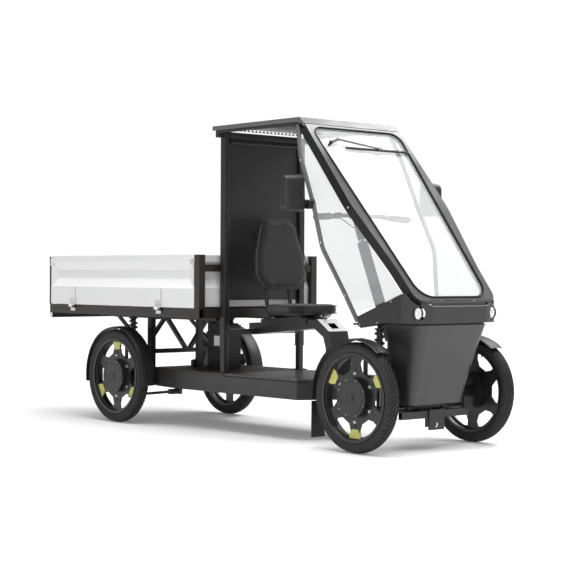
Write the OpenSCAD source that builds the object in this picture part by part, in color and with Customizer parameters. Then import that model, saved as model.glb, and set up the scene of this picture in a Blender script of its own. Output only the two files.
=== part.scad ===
// Four-wheeled electric cargo cycle with a drop-side cargo bed and a half-open cab.
// Millimetres. +X points forwards, +Y to the rider's left, +Z up; the tyres stand on z = 0.
// The row's origin is on the floor, half way along and half way across the vehicle.
// Most stations below are measured along X from the rear axle.

/* [Wheels] */
// Outside diameter of the tyres
tyre_d = 560; // [554:1:564]
// Width of the tyres
tyre_w = 72; // [68:1:73]
// Distance between the tyre centres of one axle
track = 862; // [858:1:864]
// Radius of the hub cover
hub_r = 102; // [90:1:104]

/* [Cargo bed] */
// Station of the bed's rear hinge line behind the rear axle
bed_rear = 766; // [760:1:770]
// Outside width of the bed
bed_w = 896; // [892:1:900]
// Top of the bed's sides
bed_top = 1007; // [980:1:1030]

/* [Chassis] */
// Top of the foot deck
deck_z = 333; // [330:1:336]
// Underside of the battery box
box_bottom = 222; // [214:1:224]

/* [Cab] */
// Distance between the centres of the two rear posts
post_gap = 572; // [560:1:580]
// Top of the roof
roof_z = 1735; // [1733:1:1745]
// Width of the roof
roof_w = 716; // [714:1:724]

/* [Seat and pedals] */
// Top of the seat cushion
seat_z = 728; // [724:1:740]
// Top of the backrest
back_z = 1220; // [1190:1:1240]
// Length of the crank arms
crank_l = 165; // [150:1:172]

/* [Hidden] */
$fn = 48;
HINGE_R = 8;
nose_x = 2386;
OVERALL_L = bed_rear + HINGE_R + nose_x;
wheelbase = 2080;
bed_front = 812;
bed_z = 700;
post_x = 840;
screen_angle = 50.2;
PIN_R = 4;
rear_axle_x = -OVERALL_L / 2 + bed_rear + HINGE_R;
tyre_r = tyre_d / 2;
half_track = track / 2;
half_bed = bed_w / 2;
half_box = 311;
half_post = post_gap / 2;
half_roof = roof_w / 2;
fit = 0.05;
rail_h = 55;
rail_bottom = bed_z - rail_h;
sheet = 3;
hinge_y = half_bed + 18;
hinge_z = bed_z - 5;
king_y = 335;
axle_r = 12;
arm_z = 205;
arm_y = 130;
bb = [1840, 450];
column_foot = [1985, 324];
column_head = [1600, 1238];
column_dir = (column_head - column_foot) / norm(column_head - column_foot);
column_tilt = atan2(column_head[0] - column_foot[0], column_head[1] - column_foot[1]);
screen_top = [1596, 1695];
seat_slope = 3.4;
back_lean = 7;
rear_pivot = [400, 203];
shock_y_front = 272;
shock_y_rear = 300;
tower_z = 640;
// Points on the bent tube behind each side window: station, distance from the middle, height
side_tube = [[1525, 340, 1700], [1593, 383, 1520], [1708, 393, 1262], [1806, 419, 1035],
             [1895, 343, 803], [1965, 318, 660]];

// ---------- helpers ----------

// Children are drawn with their stations measured from the rear axle.
module placed() translate([rear_axle_x, 0, 0]) children();

// Children are drawn for the right side (side = -1) or mirrored to the left (side = 1).
module on_side(side) {
    if (side < 0) mirror([0, 1, 0]) children();
    else children();
}

module both_sides() {
    on_side(-1) children();
    on_side(1) children();
}

// A round rod from point p to point q.
module rod(p, q, r) {
    d = q - p;
    translate(p)
        rotate([0, acos(d[2] / norm(d)), atan2(d[1], d[0])])
            cylinder(h = norm(d), r = r);
}

// A chain of rods with balls at the bends.
module bent_tube(points, r) {
    for (i = [0 : len(points) - 2]) rod(points[i], points[i + 1], r);
    for (i = [1 : len(points) - 2]) translate(points[i]) sphere(r = r + 0.4);
}

// A square tube along one axis, from its low corner; the wall is open at both ends.
module tube(corner, size, axis, wall = sheet) {
    hole = [for (i = [0 : 2]) i == axis ? size[i] + 2 : size[i] - 2 * wall];
    start = [for (i = [0 : 2]) i == axis ? -1 : wall];
    translate(corner) difference() {
        cube(size);
        translate(start) cube(hole);
    }
}

// A shaft along Y, from y0 to y1.
module shaft_y(x, z, y0, y1, r) {
    translate([x, y0, z]) rotate([-90, 0, 0]) cylinder(h = y1 - y0, r = r);
}

// A shaft along X, from x0 to x1.
module shaft_x(y, z, x0, x1, r) {
    translate([x0, y, z]) rotate([0, 90, 0]) cylinder(h = x1 - x0, r = r);
}

function unit(v) = v / norm(v);

// The corners of polygon P rounded with the radii R, each as a short arc.
function rounded(P, R, steps = 6) = [
    for (i = [0 : len(P) - 1])
        let (n = len(P),
             b = P[i],
             u = unit(P[(i + n - 1) % n] - b),
             v = unit(P[(i + 1) % n] - b),
             half = acos(u * v) / 2,
             t = R[i] / tan(half),
             c = b + unit(u + v) * R[i] / sin(half),
             a0 = atan2((b + u * t - c)[1], (b + u * t - c)[0]),
             a1 = atan2((b + v * t - c)[1], (b + v * t - c)[0]),
             turn = a1 - a0 > 180 ? a1 - a0 - 360 : a1 - a0 < -180 ? a1 - a0 + 360 : a1 - a0)
        for (k = [0 : steps]) c + R[i] * [cos(a0 + turn * k / steps), sin(a0 + turn * k / steps)]
];

// The outline mirrored across its X axis, run through backwards.
function flipped(P) = [for (i = [len(P) - 1 : -1 : 0]) [P[i][0], -P[i][1]]];

// The outline joined to its own mirror image.
function mirrored(P) = concat(P, flipped(P));

// ---------- wheels ----------

module tyre_section() {
    s = tyre_w / 72;
    outer = [[219, 26], [229, 26], [240, 33 * s], [tyre_r - 28, 36 * s], [tyre_r - 16, 33.5 * s],
             [tyre_r - 8, 27 * s], [tyre_r - 2.5, 16 * s], [tyre_r, 6 * s]];
    inner = [[tyre_r - 10, 8 * s], [tyre_r - 12, 16 * s], [tyre_r - 19, 25 * s],
             [tyre_r - 28, 28 * s], [240, 25 * s], [230, 18], [219, 18]];
    polygon(concat(outer, flipped(outer), flipped(inner), inner));
}

// The tyre and the rim share their axle line along Y; the outer side points to +Y.
module tyre(x, side) placed() color("#1d1d1d") on_side(side)
    translate([x, half_track, tyre_r]) rotate([90, 0, 0]) rotate_extrude() tyre_section();

module rim_barrel() {
    rotate_extrude() polygon([[212, -31], [226, -31], [226, -26.3], [218.7, -26.3], [218.7, 26.3],
                              [226, 26.3], [226, 31], [212, 31]]);
}

module spoke_windows() {
    for (i = [0 : 5]) rotate(60 * i) translate([0, 0, -20]) linear_extrude(60)
        polygon([[136, -28], [136, 28], [160, 56], [186, 68], [200, 40], [203, 0],
                 [200, -40], [186, -68], [160, -56]]);
}

// A cast rim: barrel, dished web with six windows, hub drum with its flat cover.
module wheel(x, side) placed() color("#262626") on_side(side)
    translate([x, half_track, tyre_r]) rotate([-90, 0, 0]) difference() {
        union() {
            rim_barrel();
            difference() {
                translate([0, 0, 2]) cylinder(h = 8, r = 213);
                spoke_windows();
            }
            translate([0, 0, -30]) cylinder(h = 66, r = hub_r - 4);
            translate([0, 0, 34]) cylinder(h = 7, r = hub_r);
            translate([0, 0, 40]) cylinder(h = 4, r = 15, $fn = 6);
        }
        translate([0, 0, -40]) cylinder(h = 60, r = axle_r + fit);
    }

// A curved mudguard from angle a0 to a1, counted from the front, over the top.
module mudguard(x, a0, a1, flap) {
    translate([x, half_track - 8, tyre_r]) rotate([90, 0, 0]) rotate([0, 0, a0])
        rotate_extrude(angle = a1 - a0)
            polygon([[292, -47], [297, -47], [299, -44], [299, 44], [297, 47], [292, 47],
                     [295, 43], [295, -43]]);
    if (flap) translate([x - 297, half_track - 55, 58]) cube([4, 94, 190]);
}

module front_fender(side) placed() color("#1a1a1a") on_side(side)
    mudguard(wheelbase, 52, 186, true);

module rear_fender(side) placed() color("#1a1a1a") on_side(side)
    mudguard(0, -9, 189, false);

// ---------- suspension ----------

// Lower wishbone with the kingpin at its outer end.
module front_arm(side) placed() color("#202020") on_side(side) difference() {
    union() {
        for (dx = [-55, 55]) {
            rod([wheelbase + dx, arm_y, arm_z], [wheelbase + dx * 0.25, king_y - 6, arm_z], 11);
            shaft_x(arm_y, arm_z, wheelbase + dx - 18, wheelbase + dx + 18, 16);
        }
        translate([wheelbase, king_y, arm_z - 15]) cylinder(h = 30, r = 22);
        translate([wheelbase, king_y, arm_z]) cylinder(h = 175, r = 10);
        translate([wheelbase, king_y, arm_z + 170]) cylinder(h = 12, r = 16);
        translate([wheelbase - 24, shock_y_front - 22, arm_z + 2]) cube([48, 44, 16]);
    }
    shaft_x(arm_y, arm_z, wheelbase - 100, wheelbase + 100, 8 + fit);
}

// Steering knuckle: sleeve on the kingpin, stub axle, steering arm and mudguard stay.
module knuckle(side) placed() color("#2a2a2a") on_side(side) difference() {
    union() {
        translate([wheelbase, king_y, arm_z + 16]) cylinder(h = 148, r = 19);
        shaft_y(wheelbase, tyre_r, king_y + 5, half_track + 18, axle_r);
        shaft_y(wheelbase, tyre_r, king_y, half_track - 34, 26);
        rod([wheelbase, king_y, arm_z + 40], [wheelbase - 90, king_y - 12, arm_z + 40], 8);
        translate([wheelbase - 14, king_y + 12, arm_z + 130]) cube([28, 26, 12]);
        translate([wheelbase - 14, king_y + 32, arm_z + 130]) cube([28, 6, tyre_r - 48]);
        translate([wheelbase - 14, king_y + 32, tyre_r + 286.5]) cube([28, 60, 5.2]);
    }
    translate([wheelbase, king_y, 0]) cylinder(h = 500, r = 10 + fit);
}

// Trailing link pair with the upright and stub axle of one rear wheel.
module rear_arm(side) placed() color("#202020") on_side(side) difference() {
    union() {
        for (dy = [-14, 20])
            rod([15, 315 + dy, 160], [rear_pivot[0], 315 + dy, rear_pivot[1]], 8);
        shaft_y(rear_pivot[0], rear_pivot[1], 292, 344, 16);
        translate([-26, 298, 142]) cube([52, 40, 216]);
        shaft_y(0, tyre_r, 330, half_track + 18, axle_r);
        shaft_y(0, tyre_r, 335, half_track - 34, 28);
        translate([-14, 336, 330]) cube([28, 38, 12]);
        translate([-14, 368, 330]) cube([28, 6, tyre_r - 43]);
        translate([-14, 368, tyre_r + 286.5]) cube([28, 60, 5.2]);
    }
    shaft_y(rear_pivot[0], rear_pivot[1], 280, 350, 10 + fit);
}

// Coil-over unit: damper rod, body and a stack of coils of one outline, standing on z0.
module shock(x, y, z0, z1) {
    n = 7;
    coil_0 = z0 + (z1 - z0) * 0.26;
    pitch = (z1 - 24 - coil_0) / n;
    color("#151515") translate([x, y, 0]) rotate_extrude() polygon(concat(
        [[0, z0], [14, z0], [14, coil_0 - 10], [27, coil_0 - 8], [27, coil_0]],
        [for (i = [0 : n - 1]) each [[17, coil_0 + pitch * (i + 0.2)],
                                     [25, coil_0 + pitch * (i + 0.45)],
                                     [25, coil_0 + pitch * (i + 0.65)],
                                     [17, coil_0 + pitch * (i + 0.9)]]],
        [[27, z1 - 22], [27, z1 - 16], [12, z1 - 14], [12, z1], [0, z1]]));
}

module front_shock(side) placed() on_side(side)
    shock(wheelbase, shock_y_front, arm_z + 18.3, tower_z - 0.3);

module rear_shock(side) placed() on_side(side)
    shock(-5, shock_y_rear + 18, 358.3, rail_bottom - 0.3);

// ---------- chassis ----------

box_plan = [[130.3, 262], [387, half_box], [1490, half_box], [1600, 120]];

// Folded sheet tray that holds the battery; lugs below its rear corners carry the pins of
// the trailing links.
module battery_box() placed() color("#303030") {
    difference() {
        translate([0, 0, box_bottom]) linear_extrude(deck_z - 16 - box_bottom)
            polygon(mirrored(box_plan));
        translate([0, 0, box_bottom + sheet]) linear_extrude(200)
            polygon(mirrored([[133, 260], [388, half_box - sheet], [1488, half_box - sheet],
                              [1597, 118]]));
    }
    both_sides() {
        translate([rear_pivot[0] - 22, 266, rear_pivot[1] - 16])
            cube([44, 22, box_bottom - rear_pivot[1] + 17]);
        shaft_y(rear_pivot[0], rear_pivot[1], 280, 352, 10);
        shaft_y(rear_pivot[0], rear_pivot[1], 345, 350, 15);
    }
}

module battery_pack() placed() color("#3a4a5a")
    translate([660, -220, box_bottom + sheet + 0.5]) difference() {
        cube([700, 440, 78]);
        for (x = [100 : 100 : 600]) translate([x, -1, 70]) cube([6, 442, 20]);
    }

// Film-faced plywood over the rear half of the battery box.
module deck_rear() placed() color("#3a2b26")
    translate([0, 0, deck_z - 16]) linear_extrude(16)
        polygon(mirrored([[130.3, 262], [387, half_box], [866, half_box]]));

// Removable front lid with a shadow gap under its edge.
module deck_lid() placed() color("#4a4a4a") {
    translate([0, 0, deck_z - 11]) linear_extrude(11)
        polygon(mirrored([[870, half_box - 2], [1488, half_box - 2], [1596, 120]]));
    translate([0, 0, deck_z - 16]) linear_extrude(5.2)
        polygon(mirrored([[876, half_box - 14], [1480, half_box - 14], [1584, 116]]));
}

// One bar of the rear frame: an outline in the X-Z plane, thickened across the vehicle.
module side_plate(outline, y, t) translate([0, y + t / 2, 0]) rotate([90, 0, 0])
    linear_extrude(t) polygon(outline);

// One bar of the rear frame: an outline in the Y-Z plane, thickened along the vehicle.
module cross_plate(outline, x, t) translate([x, 0, 0]) rotate([90, 0, 90])
    linear_extrude(t) polygon(outline);

// The frame under the bed: two posts with their stays, a cross frame with its vee, two
// posts on the deck and the drive controller's cabinet.
module rear_truss() placed() color("#222222") {
    y = 265;
    under = rail_bottom - 17;
    both_sides() {
        tube([92, y - 17, 228], [38, 34, rail_bottom - 228.3], 2);
        translate([-262, y - 13, under]) cube([353.7, 26, 16.7]);
        translate([130.3, y - 13, under]) cube([621, 26, 16.7]);
        side_plate([[130.3, 512], [252, under - 0.3], [224, under - 0.3], [130.3, 540]], y, 22);
        side_plate([[91.7, 397], [91.7, 423], [-210, under - 0.3], [-240, under - 0.3]], y, 18);
        cross_plate([[3, 441.3], [31, 441.3], [168, 620.7], [138, 620.7]], 112, 24);
    }
    translate([112, -247.7, 415]) cube([24, 495.4, 26]);
    translate([112, -247.7, 621]) cube([24, 495.4, 23.7]);
    tube([96, -247.7, 230], [30, 495.4, 34], 1);
    translate([226, -247.7, 625]) cube([26, 495.4, 19.7]);
    tube([223, -16, deck_z + 0.3], [32, 32, 624.7 - deck_z - 0.3], 2);
    tube([343, -15, deck_z + 0.3], [30, 30, rail_bottom - deck_z - 0.6], 2);
    translate([450, -70, deck_z + 0.3]) cube([105, 140, 262]);
}

// The seat's spine: a wide folded beam that comes down to the keel in front.
module seat_beam() placed() color("#2c2c2c") {
    seat_spine();
    translate([1430, -84, deck_z + 0.3]) cube([96, 168, 8]);
    both_sides() tube([824, 69, 552], [32, 196.7, 30], 1);
}

module seat_spine() difference() {
    translate([0, 70, 0]) rotate([90, 0, 0]) linear_extrude(140)
        polygon([[800, 546.5], [1361, 599], [1436, 553], [1457, 490], [1452, 340], [1512, 340],
                 [1512, 480], [1483, 586], [1388, 650], [800, 615]]);
    translate([0, 66, 0]) rotate([90, 0, 0]) linear_extrude(132)
        polygon([[780, 550.6], [1363, 603], [1440, 556], [1461, 490], [1456, 330], [1508, 330],
                 [1508, 480], [1480, 583], [1386, 646], [780, 609.6]]);
    translate([1420, -28, 560]) cube([42, 56, 100]);
}

// Keel, wishbone cradle, suspension arch, bumper bar with towing eye and steering tube.
module front_subframe() placed() color("#232323") {
    tube([1600.3, -40, 226], [383.3, 80, 49], 0);
    translate([1984, -105, 186]) cube([176, 210, 64]);
    both_sides() {
        for (x = [1996, 2080, 2161]) translate([x - 5, 100, 188]) cube([10, 50, 34]);
        shaft_x(arm_y, arm_z, 1992, 2165, 8);
        tube([2066, 168, 249], [34, 34, tower_z - 240], 2);
        translate([2050, 232, tower_z]) cube([62, 90, 9]);
        translate([1942, 292, tower_z]) cube([140, 34, 10]);
        translate([2156, 60, 190]) cube([44, 36, 20]);
        rod([2063, 61.6, tower_z + 25], [1850, 22, 702], 9);
    }
    tube([2066, -330, tower_z + 8], [34, 660, 30], 1);
    tube([2196, -250, 166], [24, 500, 37], 1);
    difference() {
        translate([2219, -56, 104]) cube([8, 112, 104]);
        shaft_x(0, 130, 2210, 2240, 14);
    }
    // Steering tube, the lower bearing and its two cheeks on the keel
    translate([column_foot[0], 0, column_foot[1]]) rotate([0, column_tilt, 0]) difference() {
        union() {
            translate([0, 0, 10]) cylinder(h = 60, r = 24);
            translate([0, 0, 250]) cylinder(h = 560, r = 29);
        }
        translate([0, 0, -20]) cylinder(h = 900, r = axle_r + fit);
        translate([0, 0, 262]) cylinder(h = 536, r = 24);
    }
    both_sides() translate([1936, 22, 274]) cube([52, 8, 104]);
    translate([1816, -30, 274]) cube([48, 60, 118]);
}

// ---------- cargo bed ----------

hinge_stations = [-470, 430];
gate_stations = [-285, 285];

// Two cheeks and the pin of one hinge; its line runs along X and the rail lies at -Y.
module hinge_lug() {
    for (dx = [-26, 18]) translate([dx, half_bed - hinge_y - 1, -12]) cube([8, 20, 14]);
    shaft_x(0, 0, -25, 25, PIN_R);
}

// Perimeter rails, sub-rails, cross members, corner posts and the rear bumper tube.
module bed_frame() placed() color("#2e2c2a") {
    both_sides() {
        tube([-740, half_bed - 42, rail_bottom], [bed_front + 740, 42, rail_h], 0);
        tube([-738, 248, rail_bottom], [bed_front + 737, 34, 42], 0, 2);
        translate([bed_front - 46, half_bed - 42, bed_z - 1]) cube([46, 42, bed_top - bed_z + 1]);
        translate([-745, half_bed - 20, bed_z - 1]) cube([15, 20, bed_top - bed_z - 4]);
        for (x = hinge_stations) translate([x, hinge_y, hinge_z]) hinge_lug();
    }
    tube([-740, -half_bed + 40, rail_bottom], [36, bed_w - 80, rail_h], 1);
    tube([bed_front - 46, -half_bed + 40, rail_bottom], [45, bed_w - 80, rail_h], 1);
    for (x = [-380, -25, 340])
        tube([x, -half_bed + 40, rail_bottom + 2], [40, bed_w - 80, 38], 1, 2);
    tube([-750, -half_bed + 4, rail_bottom - 30], [34, bed_w - 8, 34], 1);
    for (y = gate_stations) translate([-bed_rear, y, hinge_z]) rotate([0, 0, 90]) gate_lug();
    translate([bed_front - 24, -half_bed + 40, 911]) cube([20, bed_w - 80, 40]);
}

// The tailgate's hinge cheeks reach back to the rear rail.
module gate_lug() {
    for (dx = [-26, 18]) translate([dx, -28, -12]) cube([8, 29, 14]);
    shaft_x(0, 0, -25, 25, PIN_R);
}

module bed_floor() placed() color("#5a4436")
    translate([-719, -half_bed + 38, bed_z + 0.3]) cube([bed_front + 719 - 56, bed_w - 76, 9]);

// Height stations of the pressed panel: top band, recess, bottom band.
panel_z = [0, 0.365, 0.545, 0.71, 0.875, 1];
panel_y = [0, 0, 22, 22, 0, 0];

// Folded sheet with one long recess, h high, with box hems along its top and bottom.
module panel_profile(h) {
    front = [for (i = [0 : 5]) [-panel_y[i], panel_z[i] * h]];
    back = [for (i = [5 : -1 : 0]) [-panel_y[i] - sheet, panel_z[i] * h]];
    difference() {
        union() {
            polygon(concat(front, back));
            translate([-25, h - 28]) square([24, 28]);
            translate([-25, 0]) square([24, 22]);
        }
        translate([-22, h - 25]) square([19, 22]);
        translate([-22, 3]) square([19, 16]);
    }
}

// A panel standing on its lower edge: it runs along +X and its outer face looks to +Y.
module panel(length, h) rotate([90, 0, 90]) linear_extrude(length) panel_profile(h);

module hinge_leaf() {
    difference() {
        union() {
            shaft_x(0, 0, -15.6, 15.6, HINGE_R);
            translate([-15, -17, 2]) cube([30, 12, 5.5]);
            translate([-15, -17, 2]) cube([30, 4, 8]);
            translate([-15, -18.5, 9.2]) cube([30, 5.5, 40]);
        }
        shaft_x(0, 0, -30, 30, PIN_R + fit);
    }
}

module drop_side(side) placed() color("#d9d9d9") on_side(side) {
    translate([-727, half_bed, bed_z + 3]) panel(bed_front + 727 - 49, bed_top - bed_z - 3);
    for (x = hinge_stations) translate([x, hinge_y, hinge_z]) hinge_leaf();
}

module tailgate() placed() color("#d9d9d9") {
    translate([-bed_rear + 18, -half_bed + 29, bed_z + 3]) rotate([0, 0, 90])
        panel(bed_w - 58, bed_top - bed_z - 3);
    for (y = gate_stations) translate([-bed_rear, y, hinge_z]) rotate([0, 0, 90])
        hinge_leaf();
}

module headboard() placed() color("#cfcfcf")
    translate([bed_front - 27, half_bed - 43, bed_z + 10]) rotate([0, 0, -90])
        panel(bed_w - 86, bed_top - bed_z - 12);

// ---------- cab ----------

// Rear posts on short stubs, top rails, roof rails, bent side tubes and mirror clamps.
module cab_frame() placed() color("#262626") {
    both_sides() {
        tube([post_x - 20, half_post - 20, 482], [40, 40, 1214], 2);
        tube([post_x - 17, half_post - 17, deck_z + 0.3], [34, 34, 150], 2);
        tube([post_x - 12, half_roof - 34, 1696], [700, 24, 22], 0);
        bent_tube(side_tube, 12);
        translate([1500, half_roof - 20, 1690]) cube([52, 14, 24]);
        rod([1708, 393, 1270], [1692, 440, 1278], 9);
        rod([1696.4, 392, 1288], [1707.1, 392.9, 1264], 14);
        translate([1690, 452, 1268]) cylinder(h = 18, r = 14);
        translate([1690, 452, 1229]) cylinder(h = 100, r = 6);
    }
    tube([post_x - 14, -half_roof + 12, 1672], [26, roof_w - 24, 24], 1);
    translate([post_x + 20, -half_post + 19, 1640]) cube([16, post_gap - 38, 16]);
    tube([1520, -half_roof + 12, 1668], [26, roof_w - 24, 24], 1);
}

module bulkhead() placed() color("#2b2b2b")
    translate([post_x - 3, -half_post + 20.3, 749]) cube([5, post_gap - 40.6, 922.7]);

// Folded roof sheet with side flanges and a sloping front strip.
module roof_panel() placed() color("#6a6a6a") {
    translate([0, half_roof, 0]) rotate([90, 0, 0]) linear_extrude(roof_w)
        polygon([[812, roof_z - 3], [812, roof_z], [1551, roof_z], [screen_top[0] - 2, 1699],
                 [screen_top[0] - 5, 1697], [1549, roof_z - 3]]);
    both_sides() translate([0, half_roof, 0]) rotate([90, 0, 0]) linear_extrude(2.5)
        polygon([[812, roof_z - 25], [812, roof_z], [1551, roof_z],
                 [screen_top[0] - 4, 1699], [1562, 1700], [1540, roof_z - 25]]);
}

// Children drawn in the windscreen's own plane: X down the slope, Y across, Z outwards.
module on_screen() translate([screen_top[0], 0, screen_top[1]])
    rotate([0, screen_angle, 0]) children();

screen_outer = rounded(mirrored([[0, 356], [560, 366], [980, 308], [1214, 296]]),
                       [8, 500, 500, 70, 70, 500, 500, 8]);
screen_outer_in = rounded(mirrored([[4, 352], [560, 362], [979, 304], [1210, 292]]),
                          [6, 500, 500, 66, 66, 500, 500, 6]);
screen_room = rounded(mirrored([[-1, 357], [560, 367.5], [980, 309.5], [1214.8, 297.5]]),
                      [8, 500, 500, 70, 70, 500, 500, 8]);
screen_hole = rounded(mirrored([[20, 328], [1180, 250]]), [66, 96, 96, 66]);
screen_glass = rounded(mirrored([[10, 338], [1190, 260]]), [72, 102, 102, 72]);
screen_ring = rounded(mirrored([[6, 342], [1194, 264]]), [74, 104, 104, 74]);
screen_clear = rounded(mirrored([[28, 322], [1172, 244]]), [62, 92, 92, 62]);

// Moulded surround of the windscreen with deep side flanges.
module windscreen_frame() placed() color("#3a3a3a") on_screen() {
    difference() {
        translate([0, 0, -4]) linear_extrude(4) polygon(screen_outer);
        translate([0, 0, -5]) linear_extrude(6) polygon(screen_hole);
    }
    difference() {
        translate([0, 0, -50]) linear_extrude(47) polygon(screen_outer);
        translate([0, 0, -51]) linear_extrude(60) polygon(screen_outer_in);
        translate([1100, -200, -60]) cube([200, 400, 54]);
        translate([-1, -330, -60]) cube([20, 660, 54]);
    }
    difference() {
        translate([0, 0, -24]) linear_extrude(20.2) polygon(screen_ring);
        translate([0, 0, -30]) linear_extrude(40) polygon(screen_clear);
        translate([0, 0, -9.3]) linear_extrude(5.2) polygon(screen_glass);
    }
}

module windscreen() placed() color([0.85, 0.9, 0.92, 0.35]) on_screen()
    difference() {
        translate([0, 0, -9]) linear_extrude(4.8)
            polygon(rounded(mirrored([[11, 337], [1189, 259]]), [72, 102, 102, 72]));
        translate([142, -263, -12]) cylinder(h = 14, r = 9);
    }

// Rear edge (beside the tube) and front edge (beside the screen pillar) of a side window.
window_rear = [[1566, 358, 1630], [1609, 381, 1518], [1724, 391, 1262], [1822, 416, 1037],
               [1911, 343, 806], [1966, 331, 704]];
window_front = [[1581, 352, 1630], [1672, 352, 1524], [1872, 354, 1282], [2056, 330, 1060],
                [2215, 312, 868], [2286, 312, 796]];

// One thin curved pane, from two columns of points.
module pane(a, b, t) {
    n = len(a);
    inner = [for (i = [0 : n - 1]) each [a[i], b[i]]];
    outer = [for (i = [0 : n - 1]) each [a[i] + [0, t, 0], b[i] + [0, t, 0]]];
    m = 2 * n;
    faces = concat(
        [for (i = [0 : n - 2]) each [[2*i, 2*i+1, 2*i+3], [2*i, 2*i+3, 2*i+2]]],
        [for (i = [0 : n - 2]) each [[m+2*i, m+2*i+3, m+2*i+1], [m+2*i, m+2*i+2, m+2*i+3]]],
        [for (i = [0 : n - 2]) each [[2*i, 2*i+2, m+2*i+2], [2*i, m+2*i+2, m+2*i]]],
        [for (i = [0 : n - 2]) each [[2*i+1, m+2*i+3, 2*i+3], [2*i+1, m+2*i+1, m+2*i+3]]],
        [[0, m, m+1], [0, m+1, 1]],
        [[m-2, m-1, 2*m-1], [m-2, 2*m-1, 2*m-2]]);
    polyhedron(points = concat(inner, outer), faces = faces);
}

module side_windows() placed() color([0.85, 0.9, 0.92, 0.35]) {
    pane(window_rear, window_front, 3);
    mirror([0, 1, 0]) pane(window_rear, window_front, 3);
}

// ---------- nose ----------

lamp = [2336, 273, 706];

nose_plan = rounded(mirrored([[2236, 338], [2290, 336], [2352, 300], [nose_x, 200]]),
                    [2, 30, 60, 90, 90, 60, 30, 2]);
nose_plan_in = rounded(mirrored([[2220, 334], [2288, 332], [2349, 297], [nose_x - 4, 198]]),
                       [2, 28, 56, 86, 86, 56, 28, 2]);

// Upper nose: a shallow band round the front that carries the headlamps.
module nose_band() placed() color("#3c3c3c") difference() {
    translate([0, 0, 656]) linear_extrude(150) polygon(nose_plan);
    translate([0, 0, 650]) linear_extrude(200) polygon(nose_plan_in);
    on_screen() {
        for (y = [-400, 264]) translate([-100, y, -22]) cube([1500, 136, 300]);
        translate([-100, -265, -4.3]) cube([1500, 530, 300]);
        difference() {
            translate([0, 0, -50.6]) linear_extrude(60) polygon(screen_room);
            translate([1100, -199.6, -60]) cube([200, 399.2, 56]);
        }
    }
    translate([2234, -400, 780]) rotate([0, -20.7, 0]) cube([200, 800, 100]);
    for (s = [-1, 1]) translate([lamp[0] - 40, s * lamp[1], lamp[2]]) rotate([0, 90, 0])
        cylinder(h = 100, r = 34);
}

module bucket_block(t) {
    k = [[2149 - t, 300 - t], [2352 - t, 258 - t], [2163 - t, 200 - t], [2226 - t, 196 - t]];
    z1 = 646 + t;
    z0 = 236 + t;
    polyhedron(
        points = [[k[0][0], -k[0][1], z1], [k[1][0], -k[1][1], z1], [k[1][0], k[1][1], z1],
                  [k[0][0], k[0][1], z1], [k[2][0], -k[2][1], z0], [k[3][0], -k[3][1], z0],
                  [k[3][0], k[3][1], z0], [k[2][0], k[2][1], z0]],
        faces = [[0, 3, 2, 1], [4, 5, 6, 7], [0, 1, 5, 4], [1, 2, 6, 5], [2, 3, 7, 6],
                 [3, 0, 4, 7]]);
}

// Lower nose: a tapering shell between the front wheels, open above and behind.
module nose_bucket() placed() color("#383838") difference() {
    bucket_block(0);
    bucket_block(4);
}

module headlights() placed() both_sides()
    translate([lamp[0] - 36, lamp[1], lamp[2]]) rotate([0, 90, 0]) {
        color("#202020") difference() {
            cylinder(h = 46, r = 33);
            translate([0, 0, 38]) cylinder(h = 20, r = 28);
        }
        color("white") translate([0, 0, 37]) cylinder(h = 7, r = 27);
    }

// Side skirts between the suspension arch and the nose.
module skirts() placed() color("#343434") both_sides()
    translate([0, 334.3, 0]) rotate([90, 0, 0]) linear_extrude(4)
        polygon([[1980, 684], [1984, 640], [2006, 626], [2112, 640], [2128, 650],
                 [2234, 660], [2234, 780]]);

// ---------- pedals ----------

module pedal_generator() placed() color("#1f1f1f") difference() {
    union() {
        shaft_y(bb[0], bb[1], -44, 44, 50);
        shaft_y(bb[0], bb[1], -36, 36, 56);
    }
    shaft_y(bb[0], bb[1], -60, 60, 10 + fit);
}

module crank_arm() {
    shaft_y(bb[0], bb[1], 48, 64, 17);
    translate([bb[0], 50, bb[1] - 11]) cube([crank_l, 12, 22]);
    shaft_y(bb[0] + crank_l, bb[1], 50, 62, 13);
    shaft_y(bb[0] + crank_l, bb[1], 60, 176, 6);
}

// Axle with two opposite arms; the right arm points forwards.
module crankset() placed() color("#4a4a4a") {
    shaft_y(bb[0], bb[1], -64, 64, 10);
    mirror([0, 1, 0]) crank_arm();
    translate([2 * bb[0], 0, 0]) mirror([1, 0, 0]) crank_arm();
}

module pedal(side) placed() color("#1c1c1c") on_side(side)
    translate([bb[0] - side * crank_l, 70, bb[1]]) difference() {
        union() {
            translate([-46, 0, -8]) difference() {
                cube([92, 100, 16]);
                for (x = [10, 58]) translate([x, 12, -1]) cube([24, 76, 18]);
            }
            shaft_y(0, 0, 0, 100, 11);
        }
        shaft_y(0, 0, -1, 108, 6 + fit);
    }

// ---------- steering ----------

// Children drawn along the steering column, from its foot.
module on_column() translate([column_foot[0], 0, column_foot[1]])
    rotate([0, column_tilt, 0]) children();

column_l = norm(column_head - column_foot);

module steering_shaft() placed() color("#8c8c8c") on_column() {
    cylinder(h = column_l - 74, r = axle_r);
    translate([0, 0, 1]) cylinder(h = 8, r = 20);
}

// A point of the handlebar's centre line at distance y from the middle.
function bar(y, dx = 0, dz = 0) = [1622 + 50 * y / 345 + dx, y, 1222 - 20 * y / 345 + dz];

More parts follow.
